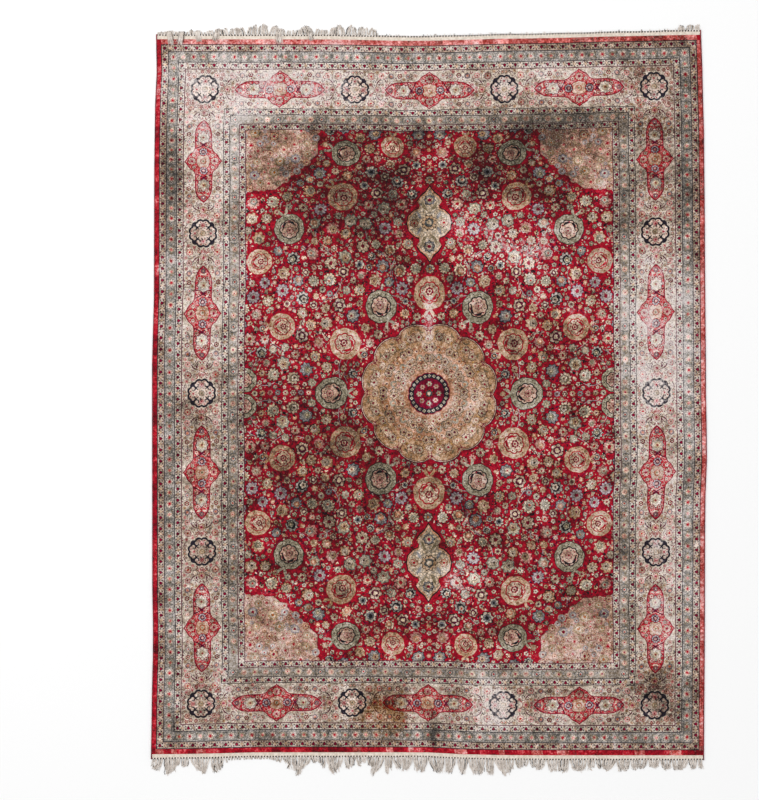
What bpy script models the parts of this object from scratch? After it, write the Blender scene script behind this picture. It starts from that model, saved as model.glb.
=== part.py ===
"""A hand-knotted silk rug lying flat: a knotted panel, two overcast side cords, and two plain-woven
end webs whose warp ends hang out as fringe.

The underside is at Z = 0. +Y runs along the rug's length and +X across it. Units are metres.
"""

import math
from typing import NamedTuple

import bmesh
import bpy

# Driving sizes of the knotted part, side cords included.
WIDTH = 2.576
LENGTH = 3.343
PANEL_THICKNESS = 0.0052
PANEL_RIM = 0.0014  # rounding of the pile's upper edge
PILE_SWELL = 0.0002  # how far each of its two slow waves lifts and lowers the clipped pile
PILE_WAVE_ACROSS = 0.90
PILE_WAVE_ALONG = 1.25

CORD_WIDTH = 0.0052
CORD_HEIGHT = 0.0058
CORD_ARC_STEPS = 6

WEB_WIDTH = 0.0230
WEB_THICKNESS = 0.0022
WEB_RIPPLE = 0.0008  # how far the web's outer edge wanders
WEB_RIPPLE_LENGTH = 0.27

LOCK_POSITIONS = 130  # knots along one end
LOCK_ROOT_SHARE = 0.40  # of the pitch, the rest is gap
SHORTEST_LOCK = 0.004
STUB_EVERY = 7  # in a bare stretch, one worn stub in this many positions
STUB_REACH = 0.006
LIMP_REACH = 0.030  # a shorter lock is too stiff to lean all the way
REACH_JITTER = 0.10
REACH_TURN = 1.9  # radians of the jitter's wave from lock to lock
CLUMP_SIZES = (3, 4, 2, 5, 3, 4, 3)  # locks that lie together, round and round
CLUMP_GATHER = 0.42  # share of the way that tips draw to their clump's middle
CLUMP_SWAY = 0.007
SWAY_TURN = 2.4  # radians of the sway's wave from clump to clump

GAP = 0.0003  # between touching pieces
WELD = 0.00002
CELLS_ACROSS = 16
CELLS_ALONG = 22

SHARP_ANGLE = math.radians(35)
HALF_WIDTH = WIDTH / 2
HALF_LENGTH = LENGTH / 2


class EdgeStation(NamedTuple):
    """How far an edge stands outside the nominal rectangle, at a share of its length."""

    along: float
    out: float


class FringeStation(NamedTuple):
    """How far the locks reach past the web at a share of the end's width, and how far they lean to +X."""

    along: float
    reach: float
    lean: float


class LockSection(NamedTuple):
    """A lock's cross-section at a share of its reach: full width and height of its four sides."""

    along: float
    width: float
    height: float


# Side edges run from the bottom end to the top end, end edges from the left side to the right.
LEFT_EDGE = (
    EdgeStation(0.00, 0.012),
    EdgeStation(0.09, 0.007),
    EdgeStation(0.16, 0.002),
    EdgeStation(0.24, 0.006),
    EdgeStation(0.54, 0.007),
    EdgeStation(0.65, -0.002),
    EdgeStation(0.82, -0.003),
    EdgeStation(0.90, -0.007),
    EdgeStation(0.96, -0.015),
    EdgeStation(1.00, -0.012),
)
RIGHT_EDGE = (
    EdgeStation(0.00, -0.002),
    EdgeStation(0.20, 0.002),
    EdgeStation(0.34, 0.003),
    EdgeStation(0.42, 0.012),
    EdgeStation(0.50, 0.007),
    EdgeStation(0.72, 0.002),
    EdgeStation(0.86, -0.002),
    EdgeStation(0.94, -0.009),
    EdgeStation(1.00, -0.016),
)
BOTTOM_EDGE = (
    EdgeStation(0.00, 0.000),
    EdgeStation(0.06, -0.001),
    EdgeStation(0.20, -0.009),
    EdgeStation(0.49, -0.009),
    EdgeStation(0.56, 0.000),
    EdgeStation(0.66, 0.005),
    EdgeStation(1.00, 0.005),
)
TOP_EDGE = (
    EdgeStation(0.00, -0.002),
    EdgeStation(0.34, -0.003),
    EdgeStation(0.42, -0.009),
    EdgeStation(0.50, -0.009),
    EdgeStation(0.64, 0.000),
    EdgeStation(0.75, 0.005),
    EdgeStation(0.85, 0.012),
    EdgeStation(1.00, 0.019),
)

BOTTOM_FRINGE = (
    FringeStation(0.00, 0.034, -0.022),
    FringeStation(0.03, 0.068, -0.012),
    FringeStation(0.055, 0.032, 0.000),
    FringeStation(0.095, 0.064, 0.004),
    FringeStation(0.12, 0.058, 0.006),
    FringeStation(0.14, 0.009, 0.000),
    FringeStation(0.21, 0.006, 0.000),
    FringeStation(0.235, 0.020, 0.004),
    FringeStation(0.266, 0.080, -0.006),
    FringeStation(0.30, 0.018, 0.000),
    FringeStation(0.32, 0.068, 0.008),
    FringeStation(0.36, 0.048, 0.006),
    FringeStation(0.384, 0.024, 0.000),
    FringeStation(0.41, 0.076, -0.008),
    FringeStation(0.447, 0.046, 0.000),
    FringeStation(0.47, 0.062, 0.006),
    FringeStation(0.54, 0.062, -0.004),
    FringeStation(0.63, 0.064, 0.006),
    FringeStation(0.68, 0.028, 0.000),
    FringeStation(0.72, 0.048, -0.004),
    FringeStation(0.774, 0.050, 0.004),
    FringeStation(0.81, 0.034, 0.000),
    FringeStation(0.847, 0.046, -0.006),
    FringeStation(0.91, 0.034, 0.000),
    FringeStation(0.94, 0.042, 0.004),
    FringeStation(1.00, 0.036, 0.002),
)
TOP_FRINGE = (
    FringeStation(0.00, 0.008, 0.000),
    FringeStation(0.03, 0.014, 0.002),
    FringeStation(0.05, 0.006, 0.000),
    FringeStation(0.066, 0.021, 0.003),
    FringeStation(0.085, 0.008, 0.000),
    FringeStation(0.11, 0.022, -0.003),
    FringeStation(0.16, 0.030, 0.003),
    FringeStation(0.195, 0.043, 0.006),
    FringeStation(0.25, 0.017, 0.000),
    FringeStation(0.28, 0.038, -0.004),
    FringeStation(0.303, 0.018, 0.000),
    FringeStation(0.34, 0.042, 0.004),
    FringeStation(0.40, 0.030, 0.002),
    FringeStation(0.41, 0.000, 0.000),
    FringeStation(0.955, 0.000, 0.000),
    FringeStation(0.968, 0.020, 0.000),
    FringeStation(1.00, 0.022, 0.002),
)

LOCK_SECTIONS = (
    LockSection(0.14, 0.0092, 0.0040),  # the warp knot
    LockSection(0.58, 0.0066, 0.0026),
    LockSection(1.00, 0.0046, 0.0018),
)


def between(low: float, high: float, share: float) -> float:
    """The value at a share of the way from low to high."""
    return low + (high - low) * share


def station_values(stations: tuple, along: float) -> tuple:
    """The columns after the first of a table of stations, eased between the two rows round `along`."""
    for before, after in zip(stations, stations[1:]):
        if along <= after.along:
            share = max(0.0, (along - before.along) / (after.along - before.along))
            eased = share * share * (3 - 2 * share)
            return tuple(between(a, b, eased) for a, b in zip(before[1:], after[1:]))
    return tuple(stations[-1][1:])


def edge_out(stations: tuple, along: float, cells: int) -> float:
    """How far an edge stands out, straight between the panel's grid lines, so that neighbours fit."""
    place = min(max(along, 0.0), 1.0) * cells
    cell = min(int(place), cells - 1)
    low = station_values(stations, cell / cells)[0]
    high = station_values(stations, (cell + 1) / cells)[0]
    return between(low, high, place - cell)


def side_x(side: int, along: float) -> float:
    """X of the rug's outer side, side being -1 for left and 1 for right."""
    stations = LEFT_EDGE if side < 0 else RIGHT_EDGE
    return side * (HALF_WIDTH + edge_out(stations, along, CELLS_ALONG))


def end_y(side: int, along: float) -> float:
    """Y of the knotted part's end, side being -1 for bottom and 1 for top."""
    stations = BOTTOM_EDGE if side < 0 else TOP_EDGE
    return side * (HALF_LENGTH + edge_out(stations, along, CELLS_ACROSS))


def panel_point(across: float, along: float) -> tuple:
    """X and Y of a point of the panel at a share of its width and of its length."""
    inset = CORD_WIDTH + GAP
    x = between(side_x(-1, along) + inset, side_x(1, along) - inset, across)
    y = between(end_y(-1, across), end_y(1, across), along)
    return x, y


def pile_height(x: float, y: float) -> float:
    """Height of the clipped pile, which rises and falls a little."""
    across = math.sin(math.tau * (x + y / 2) / PILE_WAVE_ACROSS)
    along = math.cos(math.tau * (y - x / 3) / PILE_WAVE_ALONG)
    return PANEL_THICKNESS + PILE_SWELL * (across + along)


def silk(name: str, colour: tuple, roughness: float) -> bpy.types.Material:
    """A Principled material of one dyed silk."""
    material = bpy.data.materials.new(name)
    material.use_nodes = True
    shader = material.node_tree.nodes["Principled BSDF"]
    shader.inputs["Base Color"].default_value = (*colour, 1.0)
    shader.inputs["Roughness"].default_value = roughness
    shader.inputs["Metallic"].default_value = 0.0
    material.diffuse_color = (*colour, 1.0)
    return material


def finish(bm: bmesh.types.BMesh, name: str, place: tuple, material: bpy.types.Material) -> bpy.types.Object:
    """Turns a world-space bmesh into an object whose origin is at `place`."""
    bmesh.ops.recalc_face_normals(bm, faces=bm.faces)
    bmesh.ops.translate(bm, verts=bm.verts, vec=tuple(-c for c in place))
    mesh = bpy.data.meshes.new(name)
    bm.to_mesh(mesh)
    bm.free()
    mesh.materials.append(material)
    mesh.shade_smooth()
    mesh.set_sharp_from_angle(angle=SHARP_ANGLE)
    made = bpy.data.objects.new(name, mesh)
    made.location = place
    rug_collection.objects.link(made)
    made.parent = rug_origin
    return made


def grid_of(columns: int, rows: int) -> tuple:
    """A bmesh grid of unit cells and its vertices as {(column, row): vertex}."""
    bm = bmesh.new()
    bmesh.ops.create_grid(bm, x_segments=columns, y_segments=rows, size=0.5)
    places = {}
    for vert in bm.verts:
        places[round((vert.co.x + 0.5) * columns), round((vert.co.y + 0.5) * rows)] = vert
    return bm, places


def thicken(bm: bmesh.types.BMesh) -> list:
    """Extrudes a flat sheet upwards and gives its upper vertices, still at the sheet's height."""
    raised = bmesh.ops.extrude_face_region(bm, geom=list(bm.faces))
    return [item for item in raised["geom"] if isinstance(item, bmesh.types.BMVert)]


def make_panel(material: bpy.types.Material) -> bpy.types.Object:
    """The knotted panel: a flat underside, the uneven outline and a clipped pile with a rounded rim."""
    bm, places = grid_of(CELLS_ACROSS, CELLS_ALONG)
    for (column, row), vert in places.items():
        x, y = panel_point(column / CELLS_ACROSS, row / CELLS_ALONG)
        vert.co = (x, y, 0.0)
    for vert in thicken(bm):
        vert.co.z = pile_height(vert.co.x, vert.co.y)
    bm.normal_update()
    rim = [
        edge
        for edge in bm.edges
        if all(vert.co.z > PANEL_THICKNESS / 2 for vert in edge.verts)
        and any(abs(face.normal.z) < 0.5 for face in edge.link_faces)
    ]
    bmesh.ops.bevel(bm, geom=rim, offset=PANEL_RIM, segments=1, affect="EDGES")
    return finish(bm, "pile_panel", (0.0, 0.0, 0.0), material)


def make_side_cord(name: str, side: int, material: bpy.types.Material) -> bpy.types.Object:
    """An overcast cord along one long side, past the webs too: a round top on a flat foot."""
    middle = side * CORD_WIDTH / 2
    past = WEB_WIDTH + GAP
    stations = [(side_x(side, 0.0) - middle, end_y(-1, (side + 1) / 2) - past)]
    for row in range(CELLS_ALONG + 1):
        along = row / CELLS_ALONG
        y = between(end_y(-1, (side + 1) / 2), end_y(1, (side + 1) / 2), along)
        stations.append((side_x(side, along) - middle, y))
    stations.append((side_x(side, 1.0) - middle, end_y(1, (side + 1) / 2) + past))

    bm = bmesh.new()
    first_x, first_y = stations[0]
    ring = []
    for step in range(CORD_ARC_STEPS + 1):
        angle = math.pi * step / CORD_ARC_STEPS
        place = (first_x + CORD_WIDTH / 2 * math.cos(angle), first_y, CORD_HEIGHT * math.sin(angle))
        ring.append(bm.verts.new(place))
    end_face = bm.faces.new(ring)
    bm.faces.new([bm.verts.new(vert.co) for vert in reversed(ring)])
    for (x, y), (next_x, next_y) in zip(stations, stations[1:]):
        end_face = bmesh.ops.extrude_discrete_faces(bm, faces=[end_face])["faces"][0]
        bmesh.ops.translate(bm, verts=end_face.verts, vec=(next_x - x, next_y - y, 0.0))
    bmesh.ops.remove_doubles(bm, verts=bm.verts, dist=WELD)
    return finish(bm, name, (side * HALF_WIDTH, 0.0, 0.0), material)


class Lock(NamedTuple):
    """One lock of fringe: the column of its root, its reach past the web and its tip's shift to +X."""

    column: int
    reach: float
    shift: float


def lay_out_locks(stations: tuple, pitch: float) -> list:
    """The locks of one end, gathered in clumps. A position where the fringe is worn off has none."""
    locks = []
    clump = start = 0
    while start < LOCK_POSITIONS:
        size = min(CLUMP_SIZES[clump % len(CLUMP_SIZES)], LOCK_POSITIONS - start)
        middle = start + (size - 1) / 2
        sway = CLUMP_SWAY * math.sin(SWAY_TURN * clump)
        for position in range(start, start + size):
            reach, lean = station_values(stations, (position + 0.5) / LOCK_POSITIONS)
            reach *= 1.0 + REACH_JITTER * math.sin(REACH_TURN * position)
            if reach < SHORTEST_LOCK and position % STUB_EVERY == 0:
                reach = STUB_REACH
            if reach >= SHORTEST_LOCK:
                looseness = min(1.0, reach / LIMP_REACH)
                gather = CLUMP_GATHER * (middle - position) * pitch
                locks.append(Lock(2 * position + 1, reach, looseness * (gather + sway + lean)))
        start += size
        clump += 1
    return locks


def grow_lock(bm: bmesh.types.BMesh, end_face: bmesh.types.BMFace, side: int, lock: Lock) -> None:
    """Extrudes a lock out of the web's outer face, section by section, level on the floor."""
    root = end_face.calc_center_median()
    for section in LOCK_SECTIONS:
        middle = end_face.calc_center_median()
        end_face = bmesh.ops.extrude_discrete_faces(bm, faces=[end_face])["faces"][0]
        x = root.x + lock.shift * section.along**2
        y = root.y + side * lock.reach * section.along
        for vert in end_face.verts:
            to_side = math.copysign(section.width / 2, vert.co.x - middle.x)
            vert.co = (x + to_side, y, section.height if vert.co.z > middle.z else 0.0)


def make_end_web(name: str, side: int, stations: tuple, material: bpy.types.Material) -> bpy.types.Object:
    """The plain-woven strip past one end of the pile, with its locks of fringe."""
    end = 0.0 if side < 0 else 1.0
    inset = CORD_WIDTH + GAP
    left = side_x(-1, end) + inset
    right = side_x(1, end) - inset
    pitch = (right - left) / LOCK_POSITIONS
    columns = 2 * LOCK_POSITIONS + 1
    bm, places = grid_of(columns, 1)
    for (column, row), vert in places.items():
        position, part = divmod(column, 2)
        place = position + (0.5 - LOCK_ROOT_SHARE / 2 if part else -0.5 + LOCK_ROOT_SHARE / 2)
        x = min(max(left + place * pitch, left), right)
        across = (x - left) / (right - left)
        out = GAP
        if (row == 1) == (side > 0):
            out += WEB_WIDTH + WEB_RIPPLE * math.sin(math.tau * x / WEB_RIPPLE_LENGTH)
        vert.co = (x, end_y(side, across) + side * out, 0.0)
    for vert in thicken(bm):
        vert.co.z = WEB_THICKNESS
    bm.normal_update()
    outer = {}
    for face in bm.faces:
        if abs(face.normal.z) < 0.5 and face.normal.y * side > 0.7:
            outer[round(face.calc_center_median().x, 6)] = face
    ordered = [outer[x] for x in sorted(outer)]
    for lock in lay_out_locks(stations, pitch):
        grow_lock(bm, ordered[lock.column], side, lock)
    return finish(bm, name, (0.0, side * HALF_LENGTH, 0.0), material)


for old in list(bpy.data.objects):
    bpy.data.objects.remove(old)

rug_collection = bpy.data.collections.new("hand_knotted_silk_rug")
bpy.context.scene.collection.children.link(rug_collection)
rug_origin = bpy.data.objects.new("rug_origin", None)
rug_collection.objects.link(rug_origin)

pile_silk = silk("crimson silk pile", (0.36, 0.055, 0.05), 0.55)
binding_silk = silk("dark red overcasting silk", (0.20, 0.02, 0.03), 0.5)
warp_silk = silk("undyed silk warp", (0.62, 0.58, 0.50), 0.6)

make_panel(pile_silk)
make_side_cord("selvedge_left", -1, binding_silk)
make_side_cord("selvedge_right", 1, binding_silk)
make_end_web("end_web_bottom", -1, BOTTOM_FRINGE, warp_silk)
make_end_web("end_web_top", 1, TOP_FRINGE, warp_silk)
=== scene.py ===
"""Looks of a hand-knotted silk rug lying flat: the dyed pile with its borders and flowering field, the
woven back, the overcast side cords, the plain-woven ends and the knotted fringe.

Units are metres, tables of motifs are in millimetres, +Y runs along the rug and +X across it.
"""

import logging
import math
import random
from dataclasses import dataclass, field
from enum import Enum
from typing import Callable, NamedTuple

import bpy
import numpy as np
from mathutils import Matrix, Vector
from mathutils.geometry import delaunay_2d_cdt


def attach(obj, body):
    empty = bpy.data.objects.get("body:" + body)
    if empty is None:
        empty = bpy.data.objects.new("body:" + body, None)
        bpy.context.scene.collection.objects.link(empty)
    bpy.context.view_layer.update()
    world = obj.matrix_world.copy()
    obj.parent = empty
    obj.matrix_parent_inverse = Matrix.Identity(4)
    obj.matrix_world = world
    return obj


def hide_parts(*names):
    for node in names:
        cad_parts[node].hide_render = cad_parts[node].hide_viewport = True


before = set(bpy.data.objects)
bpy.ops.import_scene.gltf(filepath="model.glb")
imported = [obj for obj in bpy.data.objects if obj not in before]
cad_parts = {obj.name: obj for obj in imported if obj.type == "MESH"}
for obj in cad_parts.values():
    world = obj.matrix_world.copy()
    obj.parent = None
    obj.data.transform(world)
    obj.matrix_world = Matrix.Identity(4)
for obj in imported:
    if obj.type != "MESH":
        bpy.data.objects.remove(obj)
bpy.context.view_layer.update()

LOG = logging.getLogger("silk_rug")
MM = 0.001
FRAME_WIDTH = 759
FRAME_HEIGHT = 800
METRES_PER_PIXEL = 0.004675  # of the photograph, from the scale cue
RUG_MIDDLE_PIXEL = (429.0, 396.5)

VALUE_OF = {"FLOAT": "value", "FLOAT_VECTOR": "vector", "FLOAT_COLOR": "color"}

Point = tuple[float, float]
Tree = bpy.types.NodeTree
Socket = bpy.types.NodeSocket
Colour = Socket | tuple
Material = bpy.types.Material
Piece = bpy.types.Object
Allowed = Callable[[float, float, float], bool]


# Each edge is a row of stations: a share of its length, and how far it stands outside the true rectangle.
# Side edges run from the bottom end to the top end, end edges from the left side to the right.
LEFT_EDGE = (
    (0.00, 0.012), (0.09, 0.007), (0.16, 0.002), (0.24, 0.006), (0.54, 0.007), (0.65, -0.002),
    (0.82, -0.003), (0.90, -0.007), (0.96, -0.015), (1.00, -0.012),
)
RIGHT_EDGE = (
    (0.00, -0.002), (0.20, 0.002), (0.34, 0.003), (0.42, 0.012), (0.50, 0.007), (0.72, 0.002),
    (0.86, -0.002), (0.94, -0.009), (1.00, -0.016),
)
BOTTOM_EDGE = (
    (0.00, 0.000), (0.06, -0.001), (0.20, -0.009), (0.49, -0.009), (0.56, 0.000), (0.66, 0.005),
    (1.00, 0.005),
)
TOP_EDGE = (
    (0.00, -0.002), (0.34, -0.003), (0.42, -0.009), (0.50, -0.009), (0.64, 0.000), (0.75, 0.005),
    (0.85, 0.012), (1.00, 0.019),
)
# How far each course of knots lies above its true place, as shares from the bottom end to the top end.
COURSE_SHIFT = (
    (0.000, 0.000), (0.069, 0.002), (0.285, -0.006), (0.500, 0.014), (0.715, 0.042), (0.931, -0.004),
    (1.000, 0.000),
)
# Stations of a fringe: a share of the end's width, the reach past the web, and the lean to +X.
BOTTOM_FRINGE = (
    (0.00, 0.034, -0.022), (0.03, 0.068, -0.012), (0.055, 0.032, 0.000), (0.095, 0.064, 0.004),
    (0.12, 0.058, 0.006), (0.14, 0.009, 0.000), (0.21, 0.006, 0.000), (0.235, 0.020, 0.004),
    (0.266, 0.080, -0.006), (0.30, 0.018, 0.000), (0.32, 0.068, 0.008), (0.36, 0.048, 0.006),
    (0.384, 0.024, 0.000), (0.41, 0.076, -0.008), (0.447, 0.046, 0.000), (0.47, 0.062, 0.006),
    (0.54, 0.062, -0.004), (0.63, 0.064, 0.006), (0.68, 0.028, 0.000), (0.72, 0.048, -0.004),
    (0.774, 0.050, 0.004), (0.81, 0.034, 0.000), (0.847, 0.046, -0.006), (0.91, 0.034, 0.000),
    (0.94, 0.042, 0.004), (1.00, 0.036, 0.002),
)
TOP_FRINGE = (
    (0.00, 0.008, 0.000), (0.03, 0.014, 0.002), (0.05, 0.006, 0.000), (0.066, 0.021, 0.003),
    (0.085, 0.008, 0.000), (0.11, 0.022, -0.003), (0.16, 0.030, 0.003), (0.195, 0.043, 0.006),
    (0.25, 0.017, 0.000), (0.28, 0.038, -0.004), (0.303, 0.018, 0.000), (0.34, 0.042, 0.004),
    (0.40, 0.030, 0.002), (0.41, 0.000, 0.000), (0.955, 0.000, 0.000), (0.968, 0.020, 0.000),
    (1.00, 0.022, 0.002),
)


class Dye(Enum):
    """Dyed silks of the pile, as sRGB hex."""

    CRIMSON = "#941221"
    MADDER = "#761228"
    SCARLET = "#A82E36"
    CORAL = "#C65A55"
    SALMON = "#D4726C"
    MAROON = "#4C1229"
    NAVY = "#1D1922"
    BLACK = "#151216"
    IVORY = "#C8B6A2"
    CREAM = "#CBB193"
    TAN = "#B9936F"
    BEIGE = "#B89A82"
    PEACH = "#C48C6A"
    PINK = "#C08077"
    LILAC = "#A39398"
    OLIVE = "#74664E"
    SAGE = "#A69C86"
    STONE = "#A0948B"
    SLATE = "#757274"
    TEAL = "#4C4F4E"
    ORANGE = "#AE673A"
    OCHRE = "#AB7F40"


def linear(hex_colour: str) -> tuple[float, float, float, float]:
    """Turns an sRGB colour, given as "#RRGGBB", to linear red, green and blue with an alpha of 1."""
    channels = [int(hex_colour[i : i + 2], 16) / 255 for i in (1, 3, 5)]
    return (*(c / 12.92 if c <= 0.04045 else ((c + 0.055) / 1.055) ** 2.4 for c in channels), 1.0)


def add_node(
    tree: Tree, kind: str, inputs: tuple | dict = (), output: int | str = 0, **settings: str
) -> Socket:
    """Adds a node with its settings and links.

    Args:
        tree: the material's nodes.
        kind: the node's type, without its "ShaderNode" prefix.
        inputs: a socket to link or a plain value for each input, in their order or by name or number.
        output: the name or number of the output that is wanted.
        **settings: the node's own properties.

    Returns:
        That output.
    """
    node = tree.nodes.new("ShaderNode" + kind)
    for name, value in settings.items():
        setattr(node, name, value)
    for key, value in inputs.items() if isinstance(inputs, dict) else enumerate(inputs):
        if isinstance(value, Socket):
            tree.links.new(value, node.inputs[key])
        else:
            node.inputs[key].default_value = value
    return node.outputs[output]


def soft_share(tree: Tree, *steps: tuple | Socket) -> Socket:
    """Multiplies soft steps to one share.

    Args:
        tree: the material's nodes.
        *steps: each a share, or a value, where it gives 0, where it gives its full share, and that share.

    Returns:
        The product.
    """
    share = None
    for step in steps:
        if isinstance(step, tuple):
            value, low, high, full = step
            step = add_node(tree, "MapRange", (value, low, high, 0.0, full), interpolation_type="SMOOTHSTEP")
        share = step if share is None else add_node(tree, "Math", (share, step), operation="MULTIPLY")
    return share


def lay(tree: Tree, under: Colour, over: Colour, *steps: tuple | Socket, blend: str = "MIX") -> Socket:
    """Lays one colour over another.

    Args:
        tree: the material's nodes.
        under: the colour that is covered.
        over: the colour that covers it.
        *steps: where and how much it does, as in `soft_share`.
        blend: how the two are blended.

    Returns:
        The blended colour.
    """
    share = soft_share(tree, *steps)
    return add_node(tree, "Mix", {0: share, 6: under, 7: over}, 2, data_type="RGBA", blend_type=blend)


def link(made: Piece) -> Piece:
    """Puts a new object in the scene and gives it back."""
    bpy.context.scene.collection.objects.link(made)
    return made


def select_only(target: Piece) -> None:
    """Deselects everything and makes one object selected and active."""
    bpy.ops.object.select_all(action="DESELECT")
    target.select_set(True)
    bpy.context.view_layer.objects.active = target


def coordinates(mesh: bpy.types.Mesh) -> np.ndarray:
    """The mesh's points, a row for each."""
    flat = np.zeros(len(mesh.vertices) * 3, np.float32)
    mesh.vertices.foreach_get("co", flat)
    return flat.reshape(-1, 3)


def write_attribute(mesh: bpy.types.Mesh, name: str, kind: str, domain: str, values: np.ndarray) -> None:
    """Adds an attribute of one of the kinds in VALUE_OF to a mesh and fills it."""
    data = mesh.attributes.new(name, kind, domain).data
    data.foreach_set(VALUE_OF[kind], np.ascontiguousarray(values, np.float32).ravel())


@dataclass(frozen=True)
class RugPlan:
    """Where a point of the true rectangle lies on the uneven, hand-knotted rug."""

    width: float = 2.576
    length: float = 3.343
    cord_width: float = 0.0052
    gap: float = 0.0003
    web_width: float = 0.0230
    web_thickness: float = 0.0022
    pile_top: float = 0.0052
    pile_swell: float = 0.0002
    wave_across: float = 0.90
    wave_along: float = 1.25
    cells_across: int = 16
    cells_along: int = 22
    wander: float = 0.0016  # how far a line strays from true inside the outline
    seam: float = 0.422  # from the edge to where the pieces of the border meet those of the field
    foundation: float = 0.0018  # thickness under the pile

    @property
    def panel_half(self) -> float:
        """Half the width of the knotted part between the side cords."""
        return self.width / 2 - self.cord_width - self.gap

    @property
    def half_length(self) -> float:
        """Half the length of the knotted part."""
        return self.length / 2

    @staticmethod
    def edge_out(stations: tuple, along: np.ndarray, cells: int) -> np.ndarray:
        """Reads an edge table.

        Args:
            stations: the edge's table.
            along: shares of the edge's length.
            cells: the number of straight stretches that the edge is knotted in.

        Returns:
            How far the edge stands out at each share.
        """
        rows = np.array(stations)
        grid = np.linspace(0, 1, cells + 1)
        row = np.clip(np.searchsorted(rows[:, 0], grid, side="left") - 1, 0, len(rows) - 2)
        share = np.clip((grid - rows[row, 0]) / (rows[row + 1, 0] - rows[row, 0]), 0, 1)
        eased = share * share * (3 - 2 * share)
        outs = rows[row, 1] + (rows[row + 1, 1] - rows[row, 1]) * eased
        return np.interp(along, grid, outs)

    def side_x(self, side: int, along: np.ndarray) -> np.ndarray:
        """X of the rug's outer side, side being -1 for left and 1 for right."""
        stations = LEFT_EDGE if side < 0 else RIGHT_EDGE
        return side * (self.width / 2 + self.edge_out(stations, along, self.cells_along))

    def end_y(self, side: int, across: np.ndarray) -> np.ndarray:
        """Y of the knotted part's end, side being -1 for bottom and 1 for top."""
        stations = BOTTOM_EDGE if side < 0 else TOP_EDGE
        return side * (self.half_length + self.edge_out(stations, across, self.cells_across))

    def place(self, flat: np.ndarray) -> np.ndarray:
        """Lays points of the true rectangle on the rug.

        Args:
            flat: points of the true rectangle, a row for each.

        Returns:
            Their X and Y on the rug, a row for each.
        """
        across = (flat[:, 0] / self.panel_half + 1) / 2
        along = (flat[:, 1] / self.half_length + 1) / 2
        inset = self.cord_width + self.gap
        left = self.side_x(-1, along) + inset
        right = self.side_x(1, along) - inset
        bottom = self.end_y(-1, across)
        top = self.end_y(1, across)
        x = left + (right - left) * across
        y = bottom + (top - bottom) * along
        loose_x = 1 - np.abs(2 * across - 1) ** 8
        loose_y = 1 - np.abs(2 * along - 1) ** 8
        stray_x = np.sin(math.tau * y / 0.43) + 0.7 * np.sin(math.tau * (y / 0.171 + x / 1.9))
        stray_y = np.sin(math.tau * x / 0.37) + 0.7 * np.sin(math.tau * (x / 0.153 + y / 2.3))
        course = self.edge_out(COURSE_SHIFT, along, 60)
        strayed = y + course + self.wander * loose_y * stray_y
        return np.column_stack([x + self.wander * loose_x * stray_x, strayed])

    def pile_height(self, placed: np.ndarray) -> np.ndarray:
        """Height of the clipped pile at X and Y on the rug, which rises and falls a little.

        Args:
            placed: points on the rug, a row for each.

        Returns:
            The height at each point.
        """
        x, y = placed[:, 0], placed[:, 1]
        across = np.sin(math.tau * (x + y / 2) / self.wave_across)
        along = np.cos(math.tau * (y - x / 3) / self.wave_along)
        return self.pile_top + self.pile_swell * (across + along)


PLAN = RugPlan()


class Tones(NamedTuple):
    """The dyes of a patch. A plain patch shows its ground, and its tracery in the ring's dye."""

    ground: Dye
    outline: Dye
    petal: Dye
    ring: Dye
    heart: Dye

    @classmethod
    def plain(cls, dye: Dye, tracery: Dye | None = None) -> "Tones":
        """Tones of a patch of one dye, with fine lines in another where it has tracery."""
        return cls(dye, dye, dye, tracery or dye, dye)


class Blossom(NamedTuple):
    """The dyes of a flower head from its edge inwards, and the number of its petals."""

    outline: Dye
    petal: Dye
    ring: Dye
    heart: Dye
    petals: int = 8


def bloom(dyes: str, petals: int) -> Blossom:
    """A flower head from the names of its four dyes, edge first, and the number of its petals."""
    return Blossom(*(Dye[name.upper()] for name in dyes.split()), petals)


class Patch(NamedTuple):
    """One knotted area: its outline, its dyes, and the middle, first axis and petals of its flower."""

    points: np.ndarray
    tones: Tones
    middle: Point
    axis: Point
    petals: int
    tracery: float


class Placement(NamedTuple):
    """Where a motif is laid: its turn and size, and flip of -1 for a mirrored copy."""

    x: float = 0.0
    y: float = 0.0
    turn: float = 0.0
    size: float = 1.0
    flip: int = 1

    def matrix(self) -> np.ndarray:
        """The two by two matrix of the turn, size and flip."""
        cosine, sine = self.size * math.cos(self.turn), self.size * math.sin(self.turn)
        return np.array([[cosine, -sine * self.flip], [sine, cosine * self.flip]])


def polar(radius: float, angle: float) -> Point:
    """The point at a radius and an angle in radians."""
    return radius * math.cos(angle), radius * math.sin(angle)


def scalloped(radius: float, lobes: int, depth: float, steps: int = 4) -> list[Point]:
    """A round outline with lobes.

    Args:
        radius: reach of the lobes.
        lobes: their number.
        depth: how far the notches cut in, as a share of the radius.
        steps: points to a lobe.

    Returns:
        The outline's points, with a notch on the first axis.
    """
    points = []
    for step in range(lobes * steps):
        angle = math.tau * step / (lobes * steps)
        bulge = abs(math.sin(lobes * angle / 2)) ** 0.7
        points.append(polar(radius * (1 - depth * (1 - bulge)), angle))
    return points


def mirrored(quarter: tuple) -> list[Point]:
    """A closed outline from its first quarter, which runs from the +X axis to the +Y axis.

    Args:
        quarter: the points of the first quarter.

    Returns:
        The points of the whole outline.
    """
    quarter = list(quarter)
    upper = quarter + [(-x, y) for x, y in reversed(quarter) if x > 0]
    lower = [(x, -y) for x, y in reversed(upper) if y > 0]
    return upper + lower


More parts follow.
